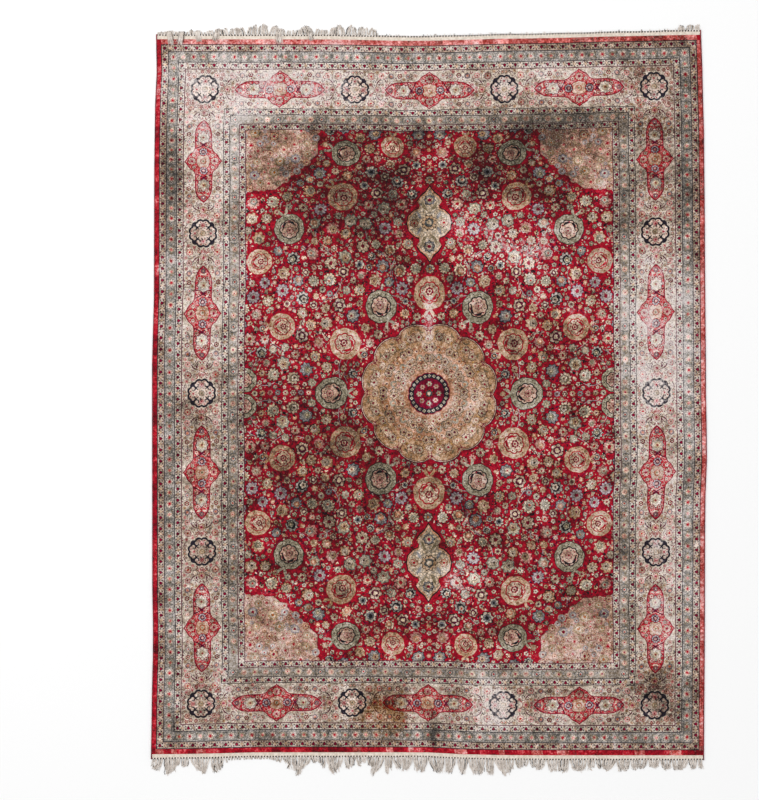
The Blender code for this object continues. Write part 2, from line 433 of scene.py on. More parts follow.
def arc(
    middle: Point, radius: float, start: float, sweep: float, steps: int, shrink: float = 1.0
) -> list[Point]:
    """Points along an arc or spiral.

    Args:
        middle: its centre.
        radius: its radius at the start.
        start: its first angle in radians.
        sweep: the angle that it runs through.
        steps: its number of stretches.
        shrink: the last radius as a share of the first.

    Returns:
        The points.
    """
    points = []
    for step in range(steps + 1):
        share = step / steps
        x, y = polar(radius * (1 + (shrink - 1) * share), start + sweep * share)
        points.append((middle[0] + x, middle[1] + y))
    return points


class Motif:
    """A group of patches, later ones over earlier ones, drawn once and stamped wherever it repeats."""

    def __init__(self) -> None:
        """Starts with no patch."""
        self.patches: list[Patch] = []

    def area(
        self, points: list[Point], dye: Dye, tracery_dye: Dye | None = None, tracery: float = 0.0
    ) -> None:
        """Adds a plain area.

        Args:
            points: its outline in millimetres.
            dye: its dye.
            tracery_dye: the dye of the fine lines over it.
            tracery: how strongly they show.
        """
        outline = np.array(points, float) * MM
        self.patches.append(Patch(outline, Tones.plain(dye, tracery_dye), (9.0, 9.0), (1.0, 0.0), 1, tracery))

    def flower(
        self, x: float, y: float, radius: float, blossom: Blossom, ground: Dye, turn: float = 0.0
    ) -> None:
        """Adds a flower head, whose petals are drawn in its own round coordinates.

        Args:
            x: its middle in millimetres.
            y: its middle in millimetres.
            radius: its radius in millimetres.
            blossom: its dyes and petals.
            ground: the dye between its petals.
            turn: its turn in radians.
        """
        sides = 14 if radius > 26 else 10 if radius > 12 else 7
        reach = radius * MM / math.cos(math.pi / sides)
        points = [polar(reach, turn + math.tau * (side + 0.5) / sides) for side in range(sides)]
        outline = np.array(points) + (x * MM, y * MM)
        tones = Tones(ground, blossom.outline, blossom.petal, blossom.ring, blossom.heart)
        self.patches.append(Patch(outline, tones, (x * MM, y * MM), polar(radius * MM, turn),
                                  blossom.petals, 0.0))

    def leaf(
        self, x: float, y: float, angle: float, length: float, width: float, dye: Dye, bend: float = 0.0
    ) -> None:
        """Adds a leaf that grows from a point.

        Args:
            x: its stalk end in millimetres.
            y: its stalk end in millimetres.
            angle: the way it points, in radians.
            length: its length in millimetres.
            width: its greatest width in millimetres.
            dye: its dye.
            bend: how far its middle bows to its left, as a share of its length.
        """
        outline = []
        for share, half in ((0.0, 0.10), (0.28, 0.44), (0.58, 0.46), (1.0, 0.0)):
            outline.append((share * length, half * width + bend * length * 4 * share * (1 - share)))
        for share, half in ((0.62, 0.46), (0.30, 0.44), (0.0, 0.10)):
            outline.append((share * length, -half * width + bend * length * 4 * share * (1 - share)))
        cosine, sine = math.cos(angle), math.sin(angle)
        self.area([(x + cosine * u - sine * v, y + sine * u + cosine * v) for u, v in outline], dye)

    def stem(self, points: list[Point], width: float, dye: Dye, tip: float = 1.0) -> None:
        """Adds a drawn line along points.

        Args:
            points: its middle line in millimetres.
            width: its width at the start in millimetres.
            dye: its dye.
            tip: its width at the end as a share of that at the start.
        """
        line = np.array(points, float)
        along = np.gradient(line, axis=0)
        along /= np.maximum(np.linalg.norm(along, axis=1, keepdims=True), 1e-9)
        across = np.stack([-along[:, 1], along[:, 0]], axis=1)
        half = width / 2 * np.linspace(1, tip, len(line))[:, None]
        self.area([*(line + across * half), *(line - across * half)[::-1]], dye)

    def dot(self, x: float, y: float, radius: float, dye: Dye) -> None:
        """Adds a small lozenge of a few knots."""
        self.area([(x + radius, y), (x, y + radius), (x - radius, y), (x, y - radius)], dye)

    def fill(
        self, free: "Scatter", sizes: tuple, heads: tuple, dyes: tuple, ground: Dye, leaves: int
    ) -> None:
        """Fills free ground with flower heads, larger ones first, then with leaves and dots.

        Args:
            free: where there is room.
            sizes: pairs of a head's radius in millimetres and how many places are tried.
            heads: the flower heads that are drawn from.
            dyes: the dyes of leaves and dots, in turn.
            ground: the dye between petals.
            leaves: how many places are tried for a leaf.
        """
        for radius, tries in sizes:
            for x, y in free.places(radius, tries, radius * 0.12):
                pick = heads[free.random.randrange(len(heads))]
                self.flower(x, y, radius + 1.5, pick, ground, free.random.uniform(0, 6))
        for number, (x, y) in enumerate(free.places(5, leaves, 1.2)):
            self.leaf(x, y, free.random.uniform(0, 6), 13, 5, dyes[number % len(dyes)], 0.1)
        for number, (x, y) in enumerate(free.places(2.4, leaves // 2, 1.0)):
            self.dot(x, y, 2.6, dyes[number % 2])

    def stamp(self, motif: "Motif", placement: Placement) -> None:
        """Adds a copy of another motif's patches.

        Args:
            motif: what is copied.
            placement: where it is laid, in metres.
        """
        matrix = placement.matrix()
        shift = np.array([placement.x, placement.y])
        for patch in motif.patches:
            points = patch.points @ matrix.T + shift
            middle = matrix @ patch.middle + shift
            axis = matrix @ patch.axis
            self.patches.append(patch._replace(points=points, middle=tuple(middle), axis=tuple(axis)))


class Scatter:
    """Finds free places for flowers, larger ones first, so that none covers another."""

    def __init__(self, seed: int, width: float, height: float, allowed: Allowed) -> None:
        """Starts on empty ground.

        Args:
            seed: of the places tried.
            width: of the ground in millimetres, from zero.
            height: of the ground in millimetres, from zero.
            allowed: says for a middle and radius whether a flower may stand there.
        """
        self.random = random.Random(seed)
        self.width = width
        self.height = height
        self.allowed = allowed
        self.cell = 60.0
        self.taken: dict[tuple[int, int], list[tuple[float, float, float]]] = {}

    def take(self, x: float, y: float, radius: float) -> None:
        """Marks a round place as taken."""
        self.taken.setdefault((int(x // self.cell), int(y // self.cell)), []).append((x, y, radius))

    def is_free(self, x: float, y: float, radius: float) -> bool:
        """Whether a round place is clear of all that is taken.

        Args:
            x: its middle in millimetres.
            y: its middle in millimetres.
            radius: its radius in millimetres.

        Returns:
            Whether nothing that is taken reaches into it.
        """
        reach = int((radius + 70) // self.cell) + 1
        column, row = int(x // self.cell), int(y // self.cell)
        for i in range(column - reach, column + reach + 1):
            for j in range(row - reach, row + reach + 1):
                for other_x, other_y, other_radius in self.taken.get((i, j), ()):
                    if math.hypot(x - other_x, y - other_y) < radius + other_radius:
                        return False
        return True

    def places(self, radius: float, tries: int, gap: float) -> list[Point]:
        """Takes free places of one size.

        Args:
            radius: their radius in millimetres.
            tries: how many places are tried.
            gap: the ground left round each.

        Returns:
            Their middles.
        """
        found = []
        for _ in range(tries):
            x, y = self.random.uniform(0, self.width), self.random.uniform(0, self.height)
            if self.allowed(x, y, radius) and self.is_free(x, y, radius + gap):
                self.take(x, y, radius)
                found.append((x, y))
        return found


class Window(NamedTuple):
    """A rectangle of the true plan, in metres."""

    left: float
    bottom: float
    right: float
    top: float


class Cut(NamedTuple):
    """A part of the chart cut into triangles, and the patch that shows on each."""

    points: np.ndarray
    triangles: np.ndarray
    shown: np.ndarray


class Chart(Motif):
    """The whole rug's pattern on the true rectangle."""

    MERGE = 0.00002
    SPACING = 0.030  # between the free points that keep large plain areas pliable

    def cut(self, window: Window, smallest: float = 0.0) -> Cut:
        """Cuts the chart into triangles that follow every outline.

        Args:
            window: the part that is cut out.
            smallest: patches narrower than this are left out, in metres.

        Returns:
            The triangles and the patch that shows on each.
        """
        left, bottom, right, top = window
        points = [Vector(corner) for corner in ((left, bottom), (right, bottom), (right, top), (left, top))]
        faces = [[0, 1, 2, 3]]
        patch_of_face = [0]
        for number, patch in enumerate(self.patches):
            low, high = patch.points.min(axis=0), patch.points.max(axis=0)
            outside = low[0] > right or high[0] < left or low[1] > top or high[1] < bottom
            if outside or (high - low).max() < smallest:
                continue
            x, y = patch.points.T
            turns_left = (x * np.roll(y, -1) - np.roll(x, -1) * y).sum() > 0
            outline = patch.points if turns_left else patch.points[::-1]
            faces.append(list(range(len(points), len(points) + len(outline))))
            points.extend(Vector(point) for point in outline)
            patch_of_face.append(number)
        columns = max(1, round((right - left) / self.SPACING))
        rows = max(1, round((top - bottom) / self.SPACING))
        for row in range(rows + 1):
            for column in range(columns + 1):
                x = left + (right - left) * column / columns
                points.append(Vector((x, bottom + (top - bottom) * row / rows)))
        edges = [(start, (start + 1) % 4) for start in range(4)]
        made = delaunay_2d_cdt(points, edges, faces, 1, self.MERGE, True)
        kept = [(face, max(source)) for face, source in zip(made[2], made[5]) if 0 in source]
        shown = np.array(patch_of_face)[[last for _, last in kept]]
        return Cut(np.array([tuple(point) for point in made[0]]), np.array([face for face, _ in kept]), shown)


class Band(NamedTuple):
    """One band of the border, counted from the outside: width in millimetres, dyes and tracery."""

    name: str
    width: float
    dye: Dye
    tracery_dye: Dye
    tracery: float


BANDS = (
    Band("red edge", 23.0, Dye.CRIMSON, Dye.CRIMSON, 0.0),
    Band("edge line", 4.0, Dye.NAVY, Dye.NAVY, 0.0),
    Band("outer guard", 28.5, Dye.BEIGE, Dye.SLATE, 0.45),
    Band("guard line 1", 3.5, Dye.NAVY, Dye.NAVY, 0.0),
    Band("grey stripe", 45.0, Dye.STONE, Dye.TEAL, 0.80),
    Band("guard line 2", 3.5, Dye.NAVY, Dye.NAVY, 0.0),
    Band("second guard", 27.5, Dye.IVORY, Dye.SLATE, 0.50),
    Band("frame line", 4.0, Dye.MAROON, Dye.MAROON, 0.0),
    Band("main border", 184.0, Dye.IVORY, Dye.MAROON, 0.30),
    Band("inner line", 3.5, Dye.NAVY, Dye.NAVY, 0.0),
    Band("third guard", 25.5, Dye.IVORY, Dye.SLATE, 0.50),
    Band("guard line 3", 3.5, Dye.NAVY, Dye.NAVY, 0.0),
    Band("pale stripe", 42.0, Dye.STONE, Dye.OLIVE, 0.70),
    Band("guard line 4", 3.5, Dye.MAROON, Dye.MAROON, 0.0),
    Band("inner guard", 25.5, Dye.IVORY, Dye.SLATE, 0.50),
    Band("field line", 4.0, Dye.MAROON, Dye.MAROON, 0.0),
)
BAND_STEP = 40.0  # between the points that let a band follow the uneven outline, in millimetres
# The dye lots of the red edge, for the bottom, right, top and left side.
EDGE_LOTS = (
    (Dye.CRIMSON, Dye.SCARLET, Dye.SCARLET, Dye.CORAL),
    (Dye.CORAL, Dye.SALMON, Dye.CORAL),
    (Dye.SALMON, Dye.CORAL),
    (Dye.CRIMSON, Dye.SCARLET),
)


@dataclass(frozen=True)
class Borders:
    """The mitred bands round the field, with what repeats along each."""

    guard_repeat: float = 51.0
    grey_repeat: float = 98.0
    pale_repeat: float = 205.0
    roundel_radius: float = 69.0
    main_half_width: float = 92.5
    seed: int = 11

    def inset(self, name: str) -> tuple[float, float]:
        """A band's outer and inner distance from the rug's edge, in millimetres.

        Args:
            name: the band.

        Returns:
            The two distances.
        """
        total = 0.0
        for band in BANDS:
            if band.name == name:
                return total, total + band.width
            total += band.width
        raise KeyError(name)

    def draw(self, chart: Chart) -> None:
        """Draws all bands on the chart, over the field.

        Args:
            chart: what they are drawn on.
        """
        total = 0.0
        for band in BANDS:
            self.draw_frame(chart, band, total, total + band.width)
            total += band.width
        self.draw_lots(chart)
        for name in ("outer guard", "second guard", "third guard", "inner guard"):
            self.repeat(chart, name, self.guard_flowers(), self.guard_repeat)
        self.repeat(chart, "grey stripe", self.grey_flowers(), self.grey_repeat)
        self.repeat(chart, "pale stripe", self.pale_flowers(), self.pale_repeat)
        self.draw_main_border(chart)

    @staticmethod
    def draw_frame(chart: Chart, band: Band, outer: float, inner: float) -> None:
        """Draws one band as four mitred strips.

        Args:
            chart: what it is drawn on.
            band: its dyes and tracery.
            outer: its outer distance from the rug's edge, in millimetres.
            inner: its inner distance.
        """
        halves = (PLAN.width / 2 / MM, PLAN.length / 2 / MM)
        for side in range(4):
            run, rise = halves if side % 2 == 0 else halves[::-1]
            edges = []
            for inset in (outer, inner):
                count = int((run - inset - 1) // BAND_STEP)
                steps = [BAND_STEP * step for step in range(-count, count + 1)]
                edges.append([(x, inset - rise) for x in (inset - run, *steps, run - inset)])
            strip = Motif()
            strip.area(edges[0] + edges[1][::-1], band.dye, band.tracery_dye, band.tracery)
            chart.stamp(strip, Placement(turn=side * math.pi / 2))

    def draw_lots(self, chart: Chart) -> None:
        """Draws the red edge in lots of slightly different reds, one after the other along each side.

        Args:
            chart: what they are drawn on.
        """
        outer, inner = self.inset("red edge")
        draw = random.Random(self.seed)
        half_width, half_length = PLAN.width / 2 / MM, PLAN.length / 2 / MM
        for side, lots in enumerate(EDGE_LOTS):
            run, rise = (half_width, half_length) if side % 2 == 0 else (half_length, half_width)
            turn = side * math.pi / 2
            strips = Motif()
            start = -run + inner
            while start < run - inner:
                end = min(start + draw.uniform(18, 60), run - inner)
                strip = [(start, -rise + outer), (end, -rise + outer), (end - 4, -rise + inner)]
                strips.area([*strip, (start - 4, -rise + inner)], lots[draw.randrange(len(lots))])
                start = end
            chart.stamp(strips, Placement(turn=turn))

    def repeat(self, chart: Chart, name: str, motif: Motif, pitch: float) -> None:
        """Stamps a motif along a band, as many times as fit between its corners, and one on each corner.

        Args:
            chart: what it is drawn on.
            name: the band.
            motif: what repeats, drawn round its own middle along +X.
            pitch: the distance that it is drawn for, in millimetres.
        """
        outer, inner = self.inset(name)
        middle = (outer + inner) / 2 * MM
        half_x, half_y = PLAN.width / 2 - middle, PLAN.length / 2 - middle
        for half_run, half_rise, turn in ((half_x, half_y, 0.0), (half_y, half_x, math.pi / 2)):
            count = round(2 * half_run / (pitch * MM))
            step = 2 * half_run / count
            for side in (-1, 1):
                way = turn + (0 if side < 0 else math.pi)
                for number in range(count):
                    along = -half_run + step * number
                    x, y = -side * along, side * half_rise
                    chart.stamp(motif, Placement(x, y, way) if turn == 0 else Placement(-y, x, way))

    @staticmethod
    def guard_flowers() -> Motif:
        """One repeat of a narrow guard: a maroon bud, a tan flower and dark seeds.

        Returns:
            The motif, round its own middle.
        """
        guard = Motif()
        guard.stem([(-24, 0), (-14, 6), (0, 0), (14, -6), (24, 0)], 2.2, Dye.SLATE)
        guard.area([(-9, -6), (0, -9), (9, -6), (5, 5), (0, 9), (-5, 5)], Dye.MAROON)
        guard.area([(-6, -4), (0, -6), (6, -4), (0, 4)], Dye.MADDER)
        guard.flower(24.5, 0, 9.5, bloom("slate tan tan cream", 4), Dye.IVORY)
        for x, y, dye in ((-13, 6, Dye.BLACK), (13, -6, Dye.BLACK), (12, 8, Dye.NAVY), (-13, -8, Dye.NAVY),
                          (24, 10, Dye.MAROON), (27, -10, Dye.MAROON)):
            guard.dot(x, y, 3.8, dye)
        return guard

    @staticmethod
    def grey_flowers() -> Motif:
        """One repeat of the outer stripe: a pale rosette in a grey cell and a small flower between.

        Returns:
            The motif, round its own middle.
        """
        stripe = Motif()
        for side in (-1, 1):
            stripe.stem(arc((side * 6, 0), 26, -0.75 + (math.pi if side < 0 else 0), 1.5, 5), 2.2, Dye.TEAL)
            for way in (-1, 1):
                stripe.leaf(side * 30, way * 6, way * 1.0 + (math.pi if side < 0 else 0), 13, 6, Dye.OLIVE)
        stripe.flower(0, 0, 20, bloom("teal ivory pink crimson", 8), Dye.STONE)
        stripe.flower(49, 0, 15, bloom("teal cream pink coral", 6), Dye.STONE)
        return stripe

    @staticmethod
    def pale_flowers() -> Motif:
        """One repeat of the inner stripe: a dark bracketed rosette and three pink ones.

        Returns:
            The motif, round its own middle.
        """
        stripe = Motif()
        for side in (-1, 1):
            stripe.stem(arc((side * 3, 0), 22, -0.8 + (math.pi if side < 0 else 0), 1.6, 5), 3.2, Dye.TEAL)
            for at in (28, 75):
                stripe.leaf(side * at, 0, 0.9 if side > 0 else 2.2, 14, 6, Dye.SLATE)
                stripe.leaf(side * at, 0, -0.9 if side > 0 else -2.2, 14, 6, Dye.OLIVE)
            stripe.flower(side * 51, 0, 13, bloom("tan pink ivory crimson", 7), Dye.IVORY)
        stripe.flower(0, 0, 15, bloom("navy slate ivory crimson", 8), Dye.IVORY)
        stripe.flower(102, 0, 14, bloom("olive cream pink madder", 8), Dye.IVORY)
        return stripe

    def roundel(self) -> Motif:
        """The scalloped dark ring with its four flowers, curls and middle rosette.

        Returns:
            The motif, round its own middle.
        """
        ring = Motif()
        ring.area(scalloped(self.roundel_radius, 12, 0.10), Dye.NAVY)
        ring.area(scalloped(self.roundel_radius - 10, 12, 0.11), Dye.IVORY, Dye.PINK, 0.5)
        for quarter in range(4):
            turn = quarter * math.pi / 2
            head = Blossom(Dye.MAROON, (Dye.PINK, Dye.IVORY)[quarter % 2], Dye.PINK, Dye.MADDER, 6)
            diagonal = turn + math.pi / 4
            ring.stem([polar(60, diagonal), polar(44, diagonal), polar(24, diagonal)], 10, Dye.NAVY, 0.4)
            for side in (-1, 1):
                middle = polar(45, diagonal + side * 0.27)
                ring.stem(arc(middle, 14, diagonal, -side * 4.6, 8, 0.45), 6.6, Dye.NAVY, 0.8)
                ring.leaf(*polar(22, diagonal + side * 0.35), diagonal + side * 0.9, 20, 7, Dye.BLACK,
                          0.22 * side)
                ring.dot(*polar(53, turn + side * 0.22), 4, Dye.MADDER)
            ring.flower(*polar(38, turn), 14, head, Dye.IVORY, turn)
        ring.flower(0, 0, 15, bloom("navy tan cream olive", 8), Dye.IVORY)
        return ring

    def cartouche(self) -> Motif:
        """The long crimson cartouche with pointed ends and a pointed lobe across its middle.

        Returns:
            The motif, round its own middle.
        """
        outline = ((213, 0), (203, 13), (186, 27), (164, 37), (132, 41), (70, 41), (56, 45), (46, 53),
                   (40, 62), (30, 70), (16, 77), (6, 84), (0, 90))
        inner = [(x * 0.965, y * (0.88 if x > 60 else 0.93)) for x, y in outline]
        lobe = ((45, 0), (36, 16), (27, 27), (14, 29), (0, 38))
        shape = Motif()
        shape.area(mirrored(outline), Dye.MADDER)
        shape.area(mirrored(inner), Dye.SCARLET, Dye.PINK, 0.7)
        for side in (-1, 1):
            for way in (-1, 1):
                shape.stem([(side * 66, -way * 36), (side * 84, 0), (side * 104, way * 36)], 5, Dye.MAROON)
                shape.leaf(side * 70, way * 12, math.pi / 2 - side * (math.pi / 2 - 0.9 * way), 18, 8,
                           Dye.IVORY)
                shape.leaf(side * 170, way * 4, way * 1.3 + (math.pi if side < 0 else 0) * way, 20, 9,
                           Dye.IVORY)
                shape.dot(side * 148, way * 31, 4, Dye.OLIVE)
            shield = ((36, 0), (27, 13), (24, 27), (9, 26), (0, 33))
            shape.area([(side * 123 + x, y) for x, y in mirrored(shield)], Dye.MAROON)
            shape.area([(side * 123 + x * 0.88, y * 0.88) for x, y in mirrored(shield)], Dye.IVORY,
                       Dye.SLATE, 0.6)
            shape.flower(side * 123, 0, 16, bloom("olive cream tan madder", 8), Dye.IVORY)
            for way in (-1, 1):
                shape.flower(side * 152, way * 18, 11, bloom("navy ivory pink madder", 5), Dye.SCARLET)
                shape.flower(side * 90, way * 24, 10, bloom("navy cream pink madder", 5), Dye.SCARLET)
            shape.flower(side * 187, 0, 13, bloom("maroon slate madder ivory", 8), Dye.SCARLET)
        shape.area(mirrored(lobe), Dye.MADDER)
        shape.area([(x * 0.92, y * 0.92) for x, y in mirrored(lobe)], Dye.BEIGE, Dye.ORANGE, 0.7)
        for x in (-1, 1):
            for y in (-1, 1):
                shape.flower(x * 31, y * 44, 11, bloom("maroon beige ivory madder", 5), Dye.SCARLET)
        for side in (-1, 1):
            shape.flower(0, side * 53, 22, bloom("madder beige pink madder", 9), Dye.SCARLET)
            shape.flower(side * 49, 0, 22, bloom("navy lilac maroon pink", 9), Dye.SCARLET)
        shape.flower(0, 0, 17, bloom("madder orange cream olive", 8), Dye.BEIGE)
        return shape

    def spray(self, half_interval: float) -> Motif:
        """What grows between a roundel's middle and the next cartouche's middle, above and below.

        Args:
            half_interval: the distance between the two middles in millimetres.

        Returns:
            The motif, with the roundel's middle at its origin and the cartouche along +X.
        """
        spray = Motif()
        tip = half_interval - 213
        ground = Dye.IVORY
        scatter = Scatter(self.seed, half_interval, self.main_half_width,
                          self.beside_border_shapes(half_interval))
        branch = ((tip - 36, 10), (tip - 37, 26), (tip - 28, 41), (tip - 14, 50))
        for x, y in branch[1:]:
            scatter.take(x, y, 7)
        for side in (-1, 1):
            spray.stem([(x, side * y) for x, y in branch], 7.5, Dye.MAROON, 0.5)
            spray.stem(arc((tip - 48, side * 22), 13, side * 2.6, side * 3.6, 7, 0.6), 5.4, Dye.MADDER, 0.6)
            spray.stem(arc((tip - 38, 0), 38, side * 0.2, side * 1.5, 6), 2.4, Dye.MAROON, 0.6)
            spray.stem(arc((tip - 62, side * 60), 30, -side * 0.9, side * 2.2, 6), 2.2, Dye.MAROON, 0.5)
            spray.stem([(tip - 20, side * 44), (tip + 30, side * 60), (tip + 90, side * 66),
                        (tip + 140, side * 64)],
                       2.2, Dye.SLATE, 0.5)
            spray.leaf(tip - 36, side * 16, side * 0.5, 22, 9, Dye.MAROON, 0.1 * side)
            spray.leaf(tip - 34, side * 10, side * 1.6, 24, 8, Dye.OLIVE)
        spray.flower(tip - 34, 0, 20, bloom("maroon tan pink madder", 7), ground)
        placed = (
            (tip - 62, 64, 19, bloom("maroon pink cream crimson", 8)),
            (tip - 12, 66, 16, bloom("slate salmon ivory madder", 7)),
            (tip + 34, 66, 15, bloom("maroon slate pink orange", 8)),
            (tip + 74, 68, 13, bloom("navy madder cream maroon", 6)),
            (tip + 112, 66, 12, bloom("maroon lilac ivory crimson", 6)),
            (tip + 148, 68, 12, bloom("slate pink cream madder", 6)),
            (8, 80, 10, bloom("maroon olive cream crimson", 6)),
        )
        for x, y, radius, blossom in placed:
            scatter.take(x, y, radius)
            for side in (-1, 1):
                spray.flower(x, side * y, radius, blossom, ground)
        small = (
            bloom("maroon madder madder pink", 5),
            bloom("madder pink pink madder", 5),
            bloom("black tan tan maroon", 6),
        )
        for number, (x, y) in enumerate(scatter.places(8.0, 600, 1.0)):
            for side in (-1, 1):
                if number % 3:
                    spray.flower(x, side * y, 9, small[number % len(small)], ground, side * number)
                else:
                    curl = arc((x, side * y), 8, side * number, side * 4.6, 6, 0.45)
                    spray.stem(curl, 3.8, (Dye.MAROON, Dye.MADDER, Dye.BLACK)[number % 9 // 3], 0.7)
        dyes = (Dye.MAROON, Dye.OLIVE, Dye.SLATE, Dye.MADDER, Dye.TAN)
        for number, (x, y) in enumerate(scatter.places(4.5, 900, 1.0)):
            for side in (-1, 1):
                spray.leaf(x - 4, side * y, side * number * 1.3, 11, 4.5, dyes[number % len(dyes)])
        for number, (x, y) in enumerate(scatter.places(2.2, 500, 1.0)):
            for side in (-1, 1):
                spray.dot(x, side * y, 3.3, (Dye.MAROON, Dye.BLACK, Dye.MADDER)[number % 3])
        return spray

    def beside_border_shapes(self, half_interval: float) -> Allowed:
        """Says where a small flower may stand in the main border.

        Args:
            half_interval: from a roundel's middle to a cartouche's, in millimetres.

        Returns:
            A test of a middle and radius, clear of the roundel, the cartouche and the spray's palmette.
        """

        def allowed(x: float, y: float, radius: float) -> bool:
            """Whether the place is ground.

            Args:
                x: its middle in millimetres.
                y: its middle in millimetres.
                radius: its radius in millimetres.

            Returns:
                Whether a flower of that size may stand there.
            """
            from_cartouche = half_interval - x
            clear_ring = math.hypot(x, y) > self.roundel_radius + radius
            body_edge = 42 - max(0.0, from_cartouche - 165) * 0.8
            clear_body = from_cartouche > 215 + radius or y > radius + body_edge
            clear_lobe = from_cartouche > 62 + radius or y > 90
            clear_palmette = math.hypot(x - (half_interval - 247), y) > 20 + radius
            inside = y + radius < self.main_half_width
            return clear_ring and clear_body and clear_lobe and clear_palmette and inside

        return allowed

    def draw_main_border(self, chart: Chart) -> None:
        """Draws roundels, cartouches and sprays along the four sides of the main border.

        Args:
            chart: what they are drawn on.
        """
        outer, inner = self.inset("main border")
        middle = (outer + inner) / 2 * MM
        half_x, half_y = PLAN.width / 2 - middle, PLAN.length / 2 - middle
        cartouche, roundel = self.cartouche(), self.roundel()
        corner = [(half_x * x, half_y * y) for x, y in ((-1, -1), (1, -1), (1, 1), (-1, 1))]
        for side, count in enumerate((3, 4, 3, 4)):
            start, end = Vector(corner[side]), Vector(corner[(side + 1) % 4])
            turn = side * math.pi / 2
            interval = (end - start).length / count
            spray = self.spray(interval / 2 / MM)
            for number in range(count):
                first = start.lerp(end, number / count)
                last = start.lerp(end, (number + 1) / count)
                chart.stamp(spray, Placement(*first, turn))
                chart.stamp(spray, Placement(*last, turn + math.pi, flip=-1))
                chart.stamp(cartouche, Placement(*first.lerp(last, 0.5), turn))
                chart.stamp(roundel, Placement(*first, turn))
            x, y = start
            chart.stamp(self.corner_flowers(), Placement(x, y, turn))

    def corner_flowers(self) -> Motif:
        """The flowers outside a corner roundel, in the quarter away from both runs of the border.

        Returns:
            The motif, round its own middle.
        """
        corner = Motif()
        scatter = Scatter(
            self.seed + 1, 92, 92, lambda x, y, r: math.hypot(x, y) > 70 + r and max(x, y) + r < 91)
        for radius, dye in ((14, Dye.PINK), (9, Dye.MADDER), (6, Dye.OLIVE), (4, Dye.MAROON)):
            for x, y in scatter.places(radius, 300, 1.5):
                blossom = Blossom(Dye.MAROON, dye, Dye.CREAM, Dye.MADDER, 6)
                for flip_x, flip_y in ((-1, -1), (-1, 1), (1, -1)):
                    corner.flower(flip_x * x, flip_y * y, radius + 1, blossom, Dye.IVORY)
        return corner


FIELD_BLOSSOMS = tuple(bloom(*row) for row in (
    ("black beige cream madder", 8), ("black tan beige madder", 9), ("madder tan cream peach", 7),
    ("black ivory slate black", 7), ("navy slate stone madder", 8), ("maroon cream olive maroon", 10),
    ("black pink cream crimson", 8), ("madder pink beige madder", 8), ("black stone black peach", 9),
    ("maroon lilac stone madder", 10), ("black peach cream maroon", 8), ("teal sage cream teal", 7),
    ("black beige maroon cream", 6), ("black cream sage maroon", 11),
))
SMALL_BLOSSOMS = tuple(bloom(*row) for row in (
    ("black ivory cream madder", 5), ("black tan tan maroon", 5), ("black ivory beige black", 5),
    ("madder peach peach cream", 6), ("navy stone cream crimson", 5), ("black sage olive cream", 5),
))
LEAF_DYES = (Dye.CREAM, Dye.BLACK, Dye.IVORY, Dye.BEIGE, Dye.BLACK, Dye.SAGE, Dye.PEACH, Dye.MAROON,
             Dye.STONE)


class Rim(Enum):
    """The two colourings of a large blossom: its rim, its tracery, its inner line, inside and heart."""

    GREEN = (Dye.SAGE, Dye.OLIVE, Dye.BLACK, Dye.BEIGE, Dye.PINK)
    TAN = (Dye.TAN, Dye.BEIGE, Dye.CRIMSON, Dye.CREAM, Dye.MAROON)


# The large fan-shaped blossoms of one quarter of the field: X, Y and radius in millimetres, the way that
# each opens in degrees, and its colouring.
PALMETTES = (
    (0, 446, 77, 90, Rim.TAN), (223, 386, 74, 60, Rim.GREEN), (386, 223, 74, 30, Rim.TAN),
    (446, 0, 77, 0, Rim.GREEN), (395, 1125, 68, 200, Rim.GREEN), (410, 905, 72, 225, Rim.TAN),
    (655, 745, 72, 250, Rim.GREEN), (800, 590, 60, 180, Rim.TAN), (170, 1165, 56, 270, Rim.TAN),
    (690, 300, 62, 180, Rim.TAN), (866, 60, 60, 180, Rim.GREEN),
)


# Round places that the pendant fills, as the height over its middle and the radius in millimetres.
PENDANT_ROOM = ((0, 110), (-95, 66), (95, 66), (-150, 44), (150, 44), (-214, 26), (214, 26))


